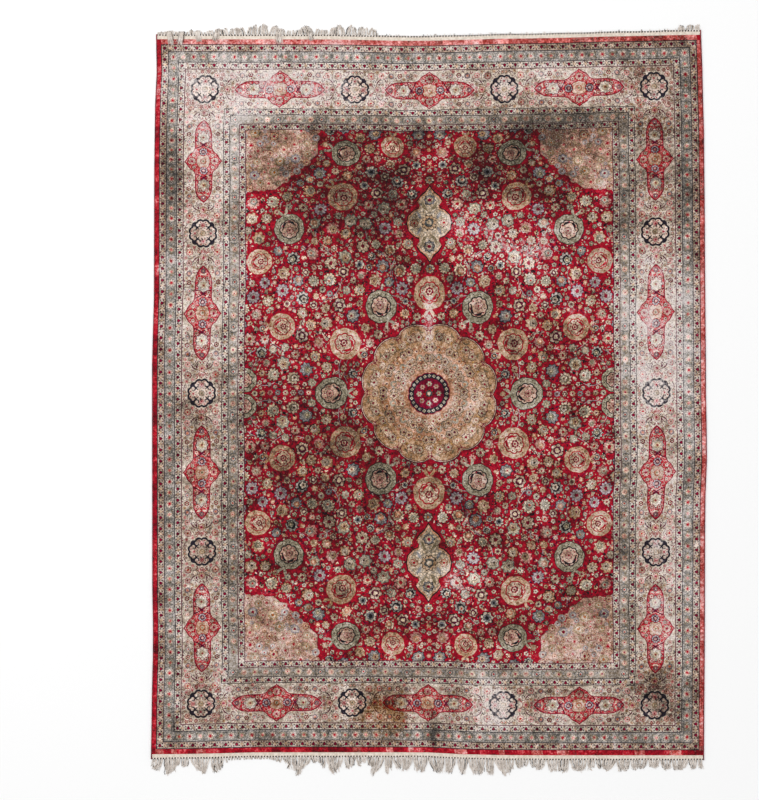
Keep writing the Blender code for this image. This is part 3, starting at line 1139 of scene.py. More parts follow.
@dataclass(frozen=True)
class Field:
    """The crimson field: a quarter of flowers on spiral vines, laid four times round the medallion."""

    half_width: float = 866.0
    half_length: float = 1249.0
    medallion_radius: float = 318.0
    medallion_lobes: int = 12
    pendant_y: float = 775.0
    corner_reach: float = 372.0
    corner_drop: float = 340.0
    spiral_pitch: float = 236.0
    spiral_radius: float = 104.0
    seed: int = 5

    def draw(self, chart: Chart) -> None:
        """Draws the field's ground, its four quarters, and what stands in its middle and corners.

        Args:
            chart: what they are drawn on.
        """
        corners = [(-900, -1290), (900, -1290), (900, 1290), (-900, 1290)]
        chart.area(corners, Dye.CRIMSON, Dye.MADDER, 0.5)
        quarter, on_axes = self.quarter()
        corner_piece = self.corner_piece()
        for turn, flip in ((0.0, 1), (0.0, -1), (math.pi, 1), (math.pi, -1)):
            chart.stamp(quarter, Placement(turn=turn, flip=flip))
            x = self.half_width * MM * (1 if turn == 0 else -1)
            y = self.half_length * MM * (1 if (turn == 0) == (flip > 0) else -1)
            chart.stamp(corner_piece, Placement(x, y, turn, flip=flip))
        chart.stamp(on_axes, Placement())
        chart.stamp(on_axes, Placement(turn=math.pi))
        pendant = self.pendant()
        for side in (-1, 1):
            chart.stamp(pendant, Placement(0, side * self.pendant_y * MM, 0 if side > 0 else math.pi))
        chart.stamp(self.medallion(), Placement())

    def in_corner(self, x: float, y: float, margin: float) -> bool:
        """Whether a point of the quarter lies on the corner piece or within a margin of it.

        Args:
            x: the point's place in millimetres.
            y: the point's place in millimetres.
            margin: the margin in millimetres.

        Returns:
            Whether it does.
        """
        across = (self.half_width - x) / (self.corner_reach + margin)
        down = (self.half_length - y) / (self.corner_drop + margin)
        return math.hypot(across, down) < 1.0

    def open_ground(self, x: float, y: float, radius: float) -> bool:
        """Whether a flower may stand here, on an axis or clear of it, and clear of medallion and corner.

        Args:
            x: its middle in millimetres.
            y: its middle in millimetres.
            radius: its radius in millimetres.

        Returns:
            Whether nothing stands there.
        """
        clear_axes = all(place == 0 or place > radius + 1 for place in (x, y))
        clear_edge = x < self.half_width + radius * 0.3 and y < self.half_length + radius * 0.3
        clear_medallion = math.hypot(x, y) > self.medallion_radius + radius
        clear_pendant = all(
            math.hypot(x, y - self.pendant_y - rise) > room + radius for rise, room in PENDANT_ROOM)
        clear = clear_axes and clear_edge and clear_medallion and clear_pendant
        return clear and not self.in_corner(x, y, radius)

    def quarter(self) -> tuple[Motif, Motif]:
        """Draws one quarter of the field.

        Returns:
            Its vines, palmettes, rosettes, leaves and buds, and the flowers on its two axes.
        """
        quarter, on_axes = Motif(), Motif()
        scatter = Scatter(self.seed, self.half_width + 8, self.half_length + 8, self.open_ground)
        for x, y, radius, _, _ in PALMETTES:
            scatter.take(x, y, radius + 4)
        for step in range(80):
            along = self.medallion_radius + 12.0 * step
            radius = (12, 20, 15)[step % 3]
            for x, y in ((0.0, along), (along, 0.0)):
                if self.open_ground(x, y, radius) and scatter.is_free(x, y, radius + 2):
                    scatter.take(x, y, radius)
                    blossoms = FIELD_BLOSSOMS if radius > 14 else SMALL_BLOSSOMS
                    on_axes.flower(x, y, radius + 1, blossoms[step % len(blossoms)], Dye.CRIMSON)
        vines = self.vines(scatter)
        rosettes = []
        for radius, tries in ((34, 260), (29, 500), (25, 900), (21, 1400), (17, 2200)):
            rosettes += [(x, y, radius) for x, y in scatter.places(radius, tries, 2.5)]
        for radius, tries in ((11, 2600), (8, 2600)):
            for x, y in scatter.places(radius, tries, 1.5):
                pick = scatter.random.randrange(len(SMALL_BLOSSOMS))
                quarter.flower(x, y, radius + 1.5, SMALL_BLOSSOMS[pick], Dye.CRIMSON,
                               scatter.random.uniform(0, 6))
        for x, y in scatter.places(5.0, 5200, 1.5):
            way = scatter.random.uniform(0, math.tau)
            dye = LEAF_DYES[scatter.random.randrange(len(LEAF_DYES))]
            quarter.leaf(x - 6 * math.cos(way), y - 6 * math.sin(way), way, 14, 6, dye, 0.08)
        for x, y in scatter.places(2.4, 6000, 1.0):
            quarter.dot(x, y, 2.8, (Dye.BLACK, Dye.CREAM, Dye.MAROON, Dye.TAN)[int(x + y) % 4])
        for number, line in enumerate(vines):
            quarter.stem(line, 3.6, (Dye.SLATE, Dye.MAROON, Dye.LILAC, Dye.NAVY)[number % 4], 0.7)
        self.add_leaves(quarter, vines)
        for x, y, radius in rosettes:
            self.add_sepals(quarter, x, y, radius, scatter.random)
            pick = scatter.random.randrange(len(FIELD_BLOSSOMS))
            turn = scatter.random.uniform(0, math.tau)
            quarter.flower(x, y, radius + 1, FIELD_BLOSSOMS[pick], Dye.CRIMSON, turn)
            if radius > 20 and pick % 3:
                off_x, off_y = polar(radius * 0.2, turn)
                heart = SMALL_BLOSSOMS[scatter.random.randrange(len(SMALL_BLOSSOMS))]
                quarter.flower(x + off_x, y + off_y, radius * 0.52, heart, FIELD_BLOSSOMS[pick].ring, turn)
        for fan in PALMETTES:
            self.add_palmette(quarter, *fan)
        LOG.info("quarter of the field: %d rosettes, %d patches", len(rosettes), len(quarter.patches))
        return quarter, on_axes

    def vines(self, scatter: Scatter) -> list[list[Point]]:
        """The spirals of the quarter.

        Args:
            scatter: whose random draw gives each spiral its start.

        Returns:
            The middle line of each vine.
        """
        lines = []
        rows = math.ceil(self.half_length / self.spiral_pitch) + 1
        columns = math.ceil(self.half_width / self.spiral_pitch) + 1
        for row in range(rows):
            for column in range(columns):
                x = (column + (0.5 if row % 2 else 0.0)) * self.spiral_pitch + 60
                y = (row + 0.5) * self.spiral_pitch * 0.9
                way = 1 if (row + column) % 2 else -1
                start = scatter.random.uniform(0, math.tau)
                for reach, shrink, sweep in ((1.0, 0.42, 7.6), (1.22, 0.9, 2.4)):
                    line = arc((x, y), self.spiral_radius * reach, start + reach, way * sweep, 26, shrink)
                    self.keep_open(lines, line)
        return lines

    def keep_open(self, lines: list[list[Point]], line: list[Point]) -> None:
        """Adds the stretches of a vine that run over open ground, each at least three points long.

        Args:
            lines: the lines that they are added to.
            line: the whole vine.
        """
        stretch: list[Point] = []
        for point in [*line, (-1.0, -1.0)]:
            if self.open_ground(*point, 2.0):
                stretch.append(point)
            else:
                if len(stretch) > 3:
                    lines.append(stretch)
                stretch = []

    @staticmethod
    def add_leaves(quarter: Motif, vines: list[list[Point]]) -> None:
        """Adds leaves that grow in turn to both sides of each vine.

        Args:
            quarter: what they are added to.
            vines: the middle lines.
        """
        for number, line in enumerate(vines):
            for step in range(1, len(line) - 1, 2):
                (x, y), (next_x, next_y) = line[step], line[step + 1]
                side = 1 if step % 4 == 1 else -1
                way = math.atan2(next_y - y, next_x - x) + side * 0.8
                quarter.leaf(x, y, way, 15, 7, LEAF_DYES[(number + step) % len(LEAF_DYES)], 0.1 * side)

    @staticmethod
    def add_sepals(quarter: Motif, x: float, y: float, radius: float, draw: random.Random) -> None:
        """Adds the leaves that stick out from under a rosette, the fewer the smaller it is.

        Args:
            quarter: what they are added to.
            x: the rosette's middle.
            y: the rosette's middle.
            radius: its radius.
            draw: the drawing of ways and dyes.
        """
        start = draw.uniform(0, math.tau)
        count = 2 + int(radius // 12)
        for number in range(count):
            way = start + math.tau * number / count + draw.uniform(-0.3, 0.3)
            root_x, root_y = polar(radius * 0.7, way)
            dye = (Dye.CREAM, Dye.BLACK, Dye.SAGE, Dye.BEIGE, Dye.MAROON)[draw.randrange(5)]
            quarter.leaf(x + root_x, y + root_y, way + draw.uniform(-0.7, 0.7), radius * 0.75,
                         radius * 0.42, dye)

    @staticmethod
    def add_palmette(quarter: Motif, x: float, y: float, radius: float, way: float, rim: Rim) -> None:
        """Adds a fan-shaped blossom: a broad scalloped rim, an inner line, and a bud between two leaves.

        Args:
            quarter: what it is added to.
            x: its middle in millimetres.
            y: its middle in millimetres.
            radius: its radius in millimetres.
            way: the way that it opens, in degrees.
            rim: its colouring.
        """
        rim, tracery, line, inside, heart = rim.value
        shapes = ((1.0, 0.0, 0.045, line, tracery, 0.0), (0.96, 0.0, 0.045, rim, tracery, 0.8),
                  (0.66, 0.05, 0.12, line, line, 0.0), (0.58, 0.05, 0.12, inside, heart, 0.5))
        drawn = Motif()
        for share, rise, depth, dye, lines_dye, lines in shapes:
            outline = scalloped(radius * share, 9, depth)
            drawn.area([(u * (1.12 if u > 0 else 0.94) + radius * rise, v) for u, v in outline], dye,
                       lines_dye,
                       lines)
        for side in (-1, 1):
            drawn.leaf(-radius * 0.40, 0, side * 0.75, radius * 0.62, radius * 0.17, line, 0.18 * side)
            drawn.leaf(-radius * 0.9, 0, side * 2.6, radius * 0.55, radius * 0.2, rim, -0.15 * side)
        for bead in range(11):
            bead_x, bead_y = polar(radius * 0.81, math.tau * (bead + 0.5) / 11)
            drawn.dot(bead_x + radius * 0.06, bead_y, 3.4, line)
            bead_x, bead_y = polar(radius * 0.46, math.tau * bead / 11)
            drawn.dot(bead_x + radius * 0.05, bead_y, 4.2, (Dye.MADDER, line)[bead % 2])
        bud = Blossom(line, heart, inside, Dye.MADDER, 7)
        drawn.flower(radius * 0.18, 0, radius * 0.27, bud, inside)
        quarter.stamp(drawn, Placement(x * MM, y * MM, math.radians(way)))

    def medallion(self) -> Motif:
        """The lobed tan medallion with its rings of flowers, curls and dark bead ring.

        Returns:
            The motif, round its own middle.
        """
        medal = Motif()
        lobes = self.medallion_lobes
        radius = self.medallion_radius
        for out, dye in ((8, Dye.MAROON), (3, Dye.CREAM), (0, Dye.MAROON)):
            medal.area(scalloped(radius + out, lobes, 0.085, 6), dye)
        medal.area(scalloped(radius - 3, lobes, 0.085, 6), Dye.TAN, Dye.ORANGE, 0.35)
        medal.area(scalloped(radius * 0.70, lobes, 0.10, 6), Dye.MADDER)
        medal.area(scalloped(radius * 0.69, lobes, 0.10, 6), Dye.PEACH, Dye.MAROON, 0.30)
        for lobe in range(lobes):
            turn = math.tau * (lobe + 0.5) / lobes
            notch = math.tau * lobe / lobes
            head = Blossom(Dye.MAROON, (Dye.CREAM, Dye.PEACH)[lobe % 2], Dye.IVORY, Dye.MADDER, 8)
            medal.flower(*polar(radius * 0.83, turn), 23, head, Dye.TAN, turn)
            for side in (-1, 1):
                medal.leaf(*polar(radius * 0.93, turn + side * 0.10), turn + side * 2.3, 30, 9, Dye.OLIVE,
                           0.2 * side)
                medal.leaf(*polar(radius * 0.76, notch + side * 0.06), notch + side * 0.5, 34, 9, Dye.OCHRE,
                           0.18 * side)
                sprig = arc(polar(radius * 0.52, turn), 24, turn + side * 1.9, -side * 2.6, 6, 0.5)
                medal.stem(sprig, 2.4, Dye.MAROON, 0.6)
                root = polar(radius * 0.86, turn + side * 0.16)
                medal.stem(arc(root, 25, turn + side * 0.4, side * 5.2, 10, 0.40), 3.4, Dye.MADDER, 0.6)
                root = polar(radius * 0.42, notch + side * 0.20)
                medal.stem(arc(root, 19, notch - side * 0.6, side * 5.0, 9, 0.40), 3.0, Dye.MAROON, 0.6)
                dye = (Dye.CREAM, Dye.PINK)[lobe % 2]
                medal.leaf(*polar(radius * 0.60, notch + side * 0.09), notch - side * 0.7, 26, 8, dye,
                           -0.15 * side)
            medal.flower(*polar(radius * 0.915, notch), 9, bloom("maroon crimson cream maroon", 5), Dye.TAN)
            medal.flower(*polar(radius * 0.54, turn), 16, bloom("teal sage cream orange", 7), Dye.BEIGE, turn)
            medal.flower(*polar(radius * 0.45, notch), 12, bloom("maroon cream pink madder", 6), Dye.BEIGE,
                         notch)
            medal.dot(*polar(radius * 0.38, turn), 4, Dye.MAROON)
        wedge = Motif()
        room = Scatter(self.seed + 7, radius, radius * 0.3, lambda x, y, r: (
            106 + r < math.hypot(x, y) < radius * 0.91 - r and abs(math.atan2(y, x) - 0.13) < 0.13 - r / 900))
        heads = (bloom("maroon cream cream madder", 6),
                 bloom("black beige tan maroon", 5),
                 bloom("orange peach cream maroon", 6))
        wedge.fill(room, ((19, 40), (14, 90)), heads, (Dye.MAROON, Dye.CREAM, Dye.ORANGE, Dye.BLACK),
                   Dye.TAN, 60)
        for lobe in range(lobes):
            for flip in (-1, 1):
                medal.stamp(wedge, Placement(turn=math.tau * lobe / lobes, flip=flip))
        medal.area(scalloped(99, 16, 0.05), Dye.MADDER)
        medal.area(scalloped(95, 16, 0.05), Dye.NAVY)
        for bead in range(24):
            head = Blossom(Dye.NAVY, (Dye.SAGE, Dye.CREAM)[bead % 2], Dye.SAGE, Dye.TEAL, 4)
            medal.flower(*polar(82, math.tau * bead / 24), 8.5, head, Dye.NAVY)
        medal.area(scalloped(71, 16, 0.04), Dye.MADDER, Dye.MAROON, 0.6)
        for petal in range(8):
            head = Blossom(Dye.MAROON, (Dye.SAGE, Dye.PINK)[petal % 2], Dye.CREAM, Dye.CRIMSON, 6)
            medal.flower(*polar(45, math.tau * petal / 8), 15, head, Dye.MADDER)
        medal.flower(0, 0, 30, bloom("black crimson teal cream", 8), Dye.MADDER)
        return medal

    @staticmethod
    def pendant() -> Motif:
        """The cream pendant over and under the medallion, with its two small finials.

        Returns:
            The motif, round its own middle.
        """
        pendant = Motif()
        outline = ((108, 0), (101, 36), (74, 64), (50, 74), (46, 92), (60, 112), (44, 138), (20, 158),
                   (0, 190))
        for out, dye, lines in ((1.0, Dye.BLACK, 0.0), (0.95, Dye.PEACH, 0.0), (0.89, Dye.CREAM, 0.7)):
            pendant.area([(x * out, y * out) for x, y in mirrored(outline)], dye, Dye.TEAL, lines)
        for side in (-1, 1):
            for way in (-1, 1):
                pendant.leaf(way * 8, side * 58, side * (math.pi / 2 - way * 0.5), 56, 15, Dye.OLIVE,
                             -0.1 * way * side)
                pendant.leaf(way * 34, side * 14, math.pi / 2 * side - way * side * 0.5, 50, 14, Dye.SLATE)
                pendant.leaf(way * 24, side * 206, side * (math.pi / 2 + way * 0.9), 40, 13, Dye.TAN,
                             0.12 * way * side)
            pendant.flower(0, side * 112, 30, bloom("black slate cream madder", 8), Dye.CREAM)
            pendant.flower(side * 70, 0, 22, bloom("maroon peach cream crimson", 7), Dye.CREAM)
            pendant.flower(0, side * 214, 24, bloom("black cream slate orange", 8), Dye.CRIMSON)
        pendant.flower(0, 0, 42, bloom("black tan teal cream", 10), Dye.CREAM)
        return pendant

    def corner_piece(self) -> Motif:
        """The beige corner of the field, drawn inwards from the field's corner.

        Returns:
            The motif, from the corner at its origin.
        """
        corner = Motif()
        for reach, dye, lines in ((1.012, Dye.MADDER, 0.0), (1.0, Dye.BEIGE, 0.8)):
            points = [(0.0, 0.0)]
            for step in range(49):
                angle = math.pi / 2 * step / 48
                bulge = 1 - 0.13 * (1 - abs(math.sin(4 * angle)) ** 0.8) - 0.03 * abs(math.cos(12 * angle))
                x, y = -self.corner_reach * math.cos(angle), -self.corner_drop * math.sin(angle)
                points.append((x * bulge * reach, y * bulge * reach))
            corner.area(points, dye, Dye.PINK, lines)
        inside = Scatter(
            self.seed + 3, self.corner_reach, self.corner_drop,
            lambda x, y, r: math.hypot(x / (self.corner_reach - r - 8), y / (self.corner_drop - r - 8)) < 1)
        heads = (
            bloom("madder cream pink crimson", 8),
            bloom("slate lilac ivory madder", 8),
            bloom("maroon peach cream madder", 7),
            bloom("olive tan ivory orange", 8),
        )
        for number, middle in enumerate(((-90, -80), (-215, -85), (-100, -205), (-215, -195))):
            corner.stem(arc(middle, 52, number * 1.7, 6.0, 22, 0.55), 2.6, Dye.MADDER, 0.7)
        grown = Motif()
        dyes = (Dye.MADDER, Dye.MAROON, Dye.SLATE, Dye.IVORY, Dye.ORANGE, Dye.OLIVE)
        grown.fill(inside, ((24, 30), (17, 160), (12, 500), (8, 900)), heads, dyes, Dye.BEIGE, 1500)
        corner.stamp(grown, Placement(turn=math.pi))
        return corner


# Soft patches in metres on the rug: middle, reach across and along, and how much painted silvery sheen,
# painted shade and ochre stain each lays on.
SHEEN_SHADE_AND_STAINS = (
    (0.00, -1.20, 3.00, 1.60, 0.06, 0.00, 0.00), (0.00, -1.50, 1.50, 0.50, 0.20, 0.00, 0.00),
    (-0.66, 1.10, 0.26, 0.22, 0.00, 0.20, 0.00), (-0.95, 1.40, 0.60, 0.30, 0.70, 0.00, 0.00),
    (-1.05, 0.80, 0.30, 0.70, 0.42, 0.00, 0.00), (-0.78, -1.10, 0.24, 0.20, 0.15, 0.00, 0.10),
    (-1.12, -0.10, 0.24, 0.90, 0.15, 0.00, 0.00), (-1.10, -1.20, 0.26, 0.40, 0.16, 0.00, 0.00),
    (0.00, 1.50, 0.80, 0.22, 0.45, 0.00, 0.00), (0.80, 1.40, 0.40, 0.26, 0.25, 0.00, 0.10),
    (1.06, 0.34, 0.22, 0.45, 0.75, 0.00, 0.00), (1.10, -0.30, 0.22, 0.70, 0.40, 0.00, 0.00),
    (1.16, -1.00, 0.16, 0.40, 0.35, 0.00, 0.00), (0.28, 0.78, 0.34, 0.16, 0.60, 0.00, 0.00),
    (0.60, 0.55, 0.35, 0.24, 0.40, 0.00, 0.00), (0.00, 0.38, 0.035, 0.13, 0.90, 0.00, 0.00),
    (-0.60, 0.40, 0.34, 0.30, 0.34, 0.00, 0.00), (0.145, -0.86, 0.14, 0.12, 0.70, 0.00, 0.00),
    (0.285, -1.44, 0.09, 0.15, 0.70, 0.00, 0.00), (0.60, -0.35, 0.30, 0.50, 0.20, 0.00, 0.00),
    (0.75, -1.20, 0.35, 0.24, 0.12, 0.00, 0.20), (0.72, 1.02, 0.20, 0.16, 0.40, 0.00, 0.00),
    (-0.28, 0.92, 0.30, 0.18, 0.00, 0.45, 0.00), (0.00, 0.00, 0.34, 0.34, 0.22, 0.00, 0.00),
    (0.50, 1.08, 0.34, 0.26, 0.00, 0.50, 0.00), (-0.55, 1.24, 0.40, 0.07, 0.00, 0.42, 0.00),
    (-0.45, -0.30, 0.35, 0.34, 0.00, 0.25, 0.00), (-0.20, -1.40, 0.12, 0.10, 0.00, 0.45, 0.40),
    (-0.22, -1.52, 0.16, 0.10, 0.00, 0.10, 0.55), (0.02, -1.56, 0.03, 0.10, 0.00, 0.80, 0.00),
    (1.12, -1.35, 0.16, 0.12, 0.00, 0.45, 0.20), (-1.20, 1.05, 0.06, 0.40, 0.00, 0.80, 0.00),
    (0.75, 1.30, 0.40, 0.08, 0.00, 0.40, 0.15),
)


class Side(Enum):
    """Which face of a slab carries the pattern."""

    FRONT = 1
    BACK = -1


RAGGED = 0.72  # roughness of the noises, whose values then lie mostly from 0.3 to 0.7


def start_material(name: str) -> tuple[Material, Tree, bpy.types.bpy_prop_collection]:
    """Makes a material and gives it with its nodes and its shader's inputs.

    Args:
        name: its name.

    Returns:
        The material, its nodes and the shader's inputs.
    """
    made = bpy.data.materials.new(name)
    made.use_nodes = True
    return made, made.node_tree, made.node_tree.nodes["Principled BSDF"].inputs


@dataclass(frozen=True)
class SilkFinish:
    """Dyed silk, knotted and clipped or seen from the back: soft gloss, fine mottling, ochre stains of age,
    and patches of painted sheen and shade.
    """

    name: str
    roughness: float
    sheen: float
    bump: float
    mottle: float  # how far single knots vary in lightness: tone that differs at random, and painted highlights on single knots
    tracery_cell: float = 0.0135  # drawn coarser than the real half-centimetre scrolls so that it shows
    knot_pitch: float = 0.0026  # real knots are 1 mm apart, drawn coarser so that they show
    wobble: float = 0.42  # how uneven petals are, as a share of a flower's radius

    def material(self) -> Material:
        """Builds the material, which reads the pattern's own attributes and Object coordinates.

        Returns:
            The material.
        """
        made, tree, shader = start_material(self.name)
        place = add_node(tree, "TexCoord", output="Object")
        colour = self.age(tree, place, self.pattern(tree, place))
        tree.links.new(colour, shader["Base Color"])
        shader["Roughness"].default_value = self.roughness
        shader["Specular IOR Level"].default_value = 0.10
        shader["Sheen Weight"].default_value = self.sheen
        shader["Sheen Roughness"].default_value = 0.4
        knots = add_node(tree, "TexVoronoi", {"Vector": place, "Scale": 1 / self.knot_pitch})
        bump = {"Height": knots, "Strength": self.bump, "Distance": 0.0006}
        tree.links.new(add_node(tree, "Bump", bump), shader["Normal"])
        return made

    def pattern(self, tree: Tree, place: Socket) -> Socket:
        """Draws petals, rings and tracery from the chart's attributes.

        Args:
            tree: the material's nodes.
            place: the Object coordinates.

        Returns:
            The unfaded colour.
        """
        dye = {name: add_node(tree, "Attribute", output="Color",
                              attribute_name=name) for name in Tones._fields}
        motif = add_node(tree, "Attribute", output="Vector", attribute_name="motif")
        unsure = add_node(tree, "TexNoise", {"Vector": place, "Scale": 120.0, "Detail": 1.0}, "Color")
        wobble = self.wobble
        motif = add_node(tree, "VectorMath", (unsure, (wobble, wobble, 0), motif), operation="MULTIPLY_ADD")
        motif = add_node(tree, "VectorMath", (motif, (-wobble / 2, -wobble / 2, 0)), operation="ADD")
        parts = add_node(tree, "SeparateXYZ", (motif,)).node.outputs
        flat = add_node(tree, "VectorMath", (motif, (1, 1, 0)), operation="MULTIPLY")
        radius = add_node(tree, "VectorMath", (flat,), "Value", operation="LENGTH")
        angle = add_node(tree, "Math", (parts["Y"], parts["X"]), operation="ARCTAN2")
        turned = add_node(tree, "Math", (angle, parts["Z"]), operation="MULTIPLY")
        wave = add_node(tree, "Math", (turned,), operation="COSINE")
        edge = add_node(tree, "Math", (wave, 0.09, 0.90), operation="MULTIPLY_ADD")
        depth = add_node(tree, "Math", (edge, radius), operation="SUBTRACT")
        colour = lay(tree, dye["ground"], dye["outline"], (depth, 0.0, 0.04, 1.0))
        colour = lay(tree, colour, dye["petal"], (depth, 0.12, 0.16, 1.0))
        notch = ((wave, -0.72, -0.95, 0.75), (radius, 0.48, 0.56, 1.0), (depth, 0.0, 0.04, 1.0))
        colour = lay(tree, colour, dye["outline"], *notch)
        ring = lay(tree, dye["ring"], dye["outline"], (wave, -0.1, 0.5, 0.7), (radius, 0.36, 0.40, 1.0))
        colour = lay(tree, colour, ring, (radius, 0.54, 0.50, 1.0))
        colour = lay(tree, colour, dye["heart"], (radius, 0.30, 0.25, 1.0))
        cells = {"Vector": place, "Scale": 1 / self.tracery_cell}
        scroll = add_node(tree, "TexVoronoi", cells, feature="DISTANCE_TO_EDGE")
        lines = add_node(tree, "Attribute", output="Fac", attribute_name="tracery")
        return lay(tree, colour, dye["ring"], (scroll, 0.14, 0.07, 1.0), lines)

    def age(self, tree: Tree, place: Socket, colour: Socket) -> Socket:
        """Lays the mottling, the dye lots, the ochre stains and patches of painted sheen, shade and glints
        over the pattern.

        Args:
            tree: the material's nodes.
            place: the Object coordinates.
            colour: the unfaded colour.

        Returns:
            The aged colour, with painted sheen, shade and glints.
        """
        # Patches of painted sheen (X) and painted shade (Y), and of ochre stain (Z).
        sheen_shade_and_stain = add_node(tree, "Attribute", output="Vector", attribute_name="sheen_shade_and_stain")
        parts = add_node(tree, "SeparateXYZ", (sheen_shade_and_stain,)).node.outputs
        # Single knots lighter and darker: random tone, and painted highlights on single knots.
        grain = add_node(tree, "TexNoise", (place, 0, 125.0, 3.0, RAGGED))
        light = add_node(tree, "MapRange", (grain, 0.3, 0.7, 1 - self.mottle, 1 + self.mottle))
        courses = add_node(tree, "Mapping", {"Vector": place, "Scale": (0.6, 16.0, 1.0)})
        drift = add_node(tree, "TexNoise", (courses, 0, 1.0, 2.0, RAGGED))
        lots = add_node(tree, "MapRange", (drift, 0.3, 0.7, 0.9, 1.08))
        value = add_node(tree, "Math", (light, lots), operation="MULTIPLY")
        colour = add_node(tree, "HueSaturation", {"Value": value, "Color": colour})
        shifted = add_node(tree, "Mapping", {"Vector": place, "Location": (3.7, 1.9, 0.0)})
        golden = self.blotches(tree, shifted, parts["Z"], 0.9)
        colour = lay(tree, colour, linear("#C9974A"), (golden, 0.15, 0.75, 0.8), blend="MULTIPLY")
        # Painted sheen less painted shade, broken into clouds: the colour is painted lighter and whiter, or
        # darker, as if lit.
        sheen_and_stain = add_node(tree, "Math", (parts["X"], parts["Y"]), operation="SUBTRACT")
        painted_sheen = self.blotches(tree, place, sheen_and_stain, 2.3)
        # The value darkens under painted shade and rises under painted sheen, and the colour dulls where the
        # sheen is strong.
        pale = soft_share(tree, (add_node(tree, "RGBToBW", (colour,)), 0.04, 0.24, 1.0))
        gain = add_node(tree, "Math", (pale, -0.25, 1.50), operation="MULTIPLY_ADD")
        value = add_node(tree, "Math", (soft_share(tree, (painted_sheen, -0.75, 0.95, gain)), 0.20), operation="ADD")
        dulled = soft_share(tree, (painted_sheen, -0.2, 0.9, 0.45), pale)
        saturation = add_node(tree, "Math", (1.12, dulled), operation="SUBTRACT")
        colour = add_node(tree, "HueSaturation", {"Saturation": saturation, "Value": value, "Color": colour})
        # A whitish painted sheen over pale dyes, and over all dyes where the painted sheen is strongest.
        colour = lay(tree, colour, linear("#E4DAD8"), (painted_sheen, 0.30, 1.10, 0.34), pale)
        colour = lay(tree, colour, linear("#E4DAD8"), (painted_sheen, 0.70, 1.45, 0.55))
        fleck = add_node(tree, "TexNoise", (shifted, 0, 165.0, 1.0, RAGGED))
        # Pale flecks on pale dyes are painted glints on single knots; after them come dark flecks.
        colour = lay(tree, colour, linear("#D8CDC4"), pale, (fleck, 0.57, 0.66, 0.26))
        return lay(tree, colour, linear("#241417"), (fleck, 0.43, 0.34, 0.45))

    @staticmethod
    def blotches(tree: Tree, place: Socket, sheen_and_stain: Socket, strength: float) -> Socket:
        """Breaks an amount up into hand-sized clouds and into flecks of a few knots, for the ochre stains and
        for the painted sheen and shade alike.

        Args:
            tree: the material's nodes.
            place: coordinates on the rug.
            sheen_and_stain: the amount at the place, of ochre stain in one use and of painted sheen less
                painted shade in the other.
            strength: how strongly clouds and flecks show.

        Returns:
            The broken-up amount.
        """
        for scale, part in ((7.0, 1.2), (75.0, 1.3)):
            noise = add_node(tree, "TexNoise", (place, 0, scale, 4.0, RAGGED))
            sheen_and_stain = add_node(tree, "Math", (noise, strength * part, sheen_and_stain), operation="MULTIPLY_ADD")
        return add_node(tree, "Math", (sheen_and_stain, strength * 1.25), operation="SUBTRACT")


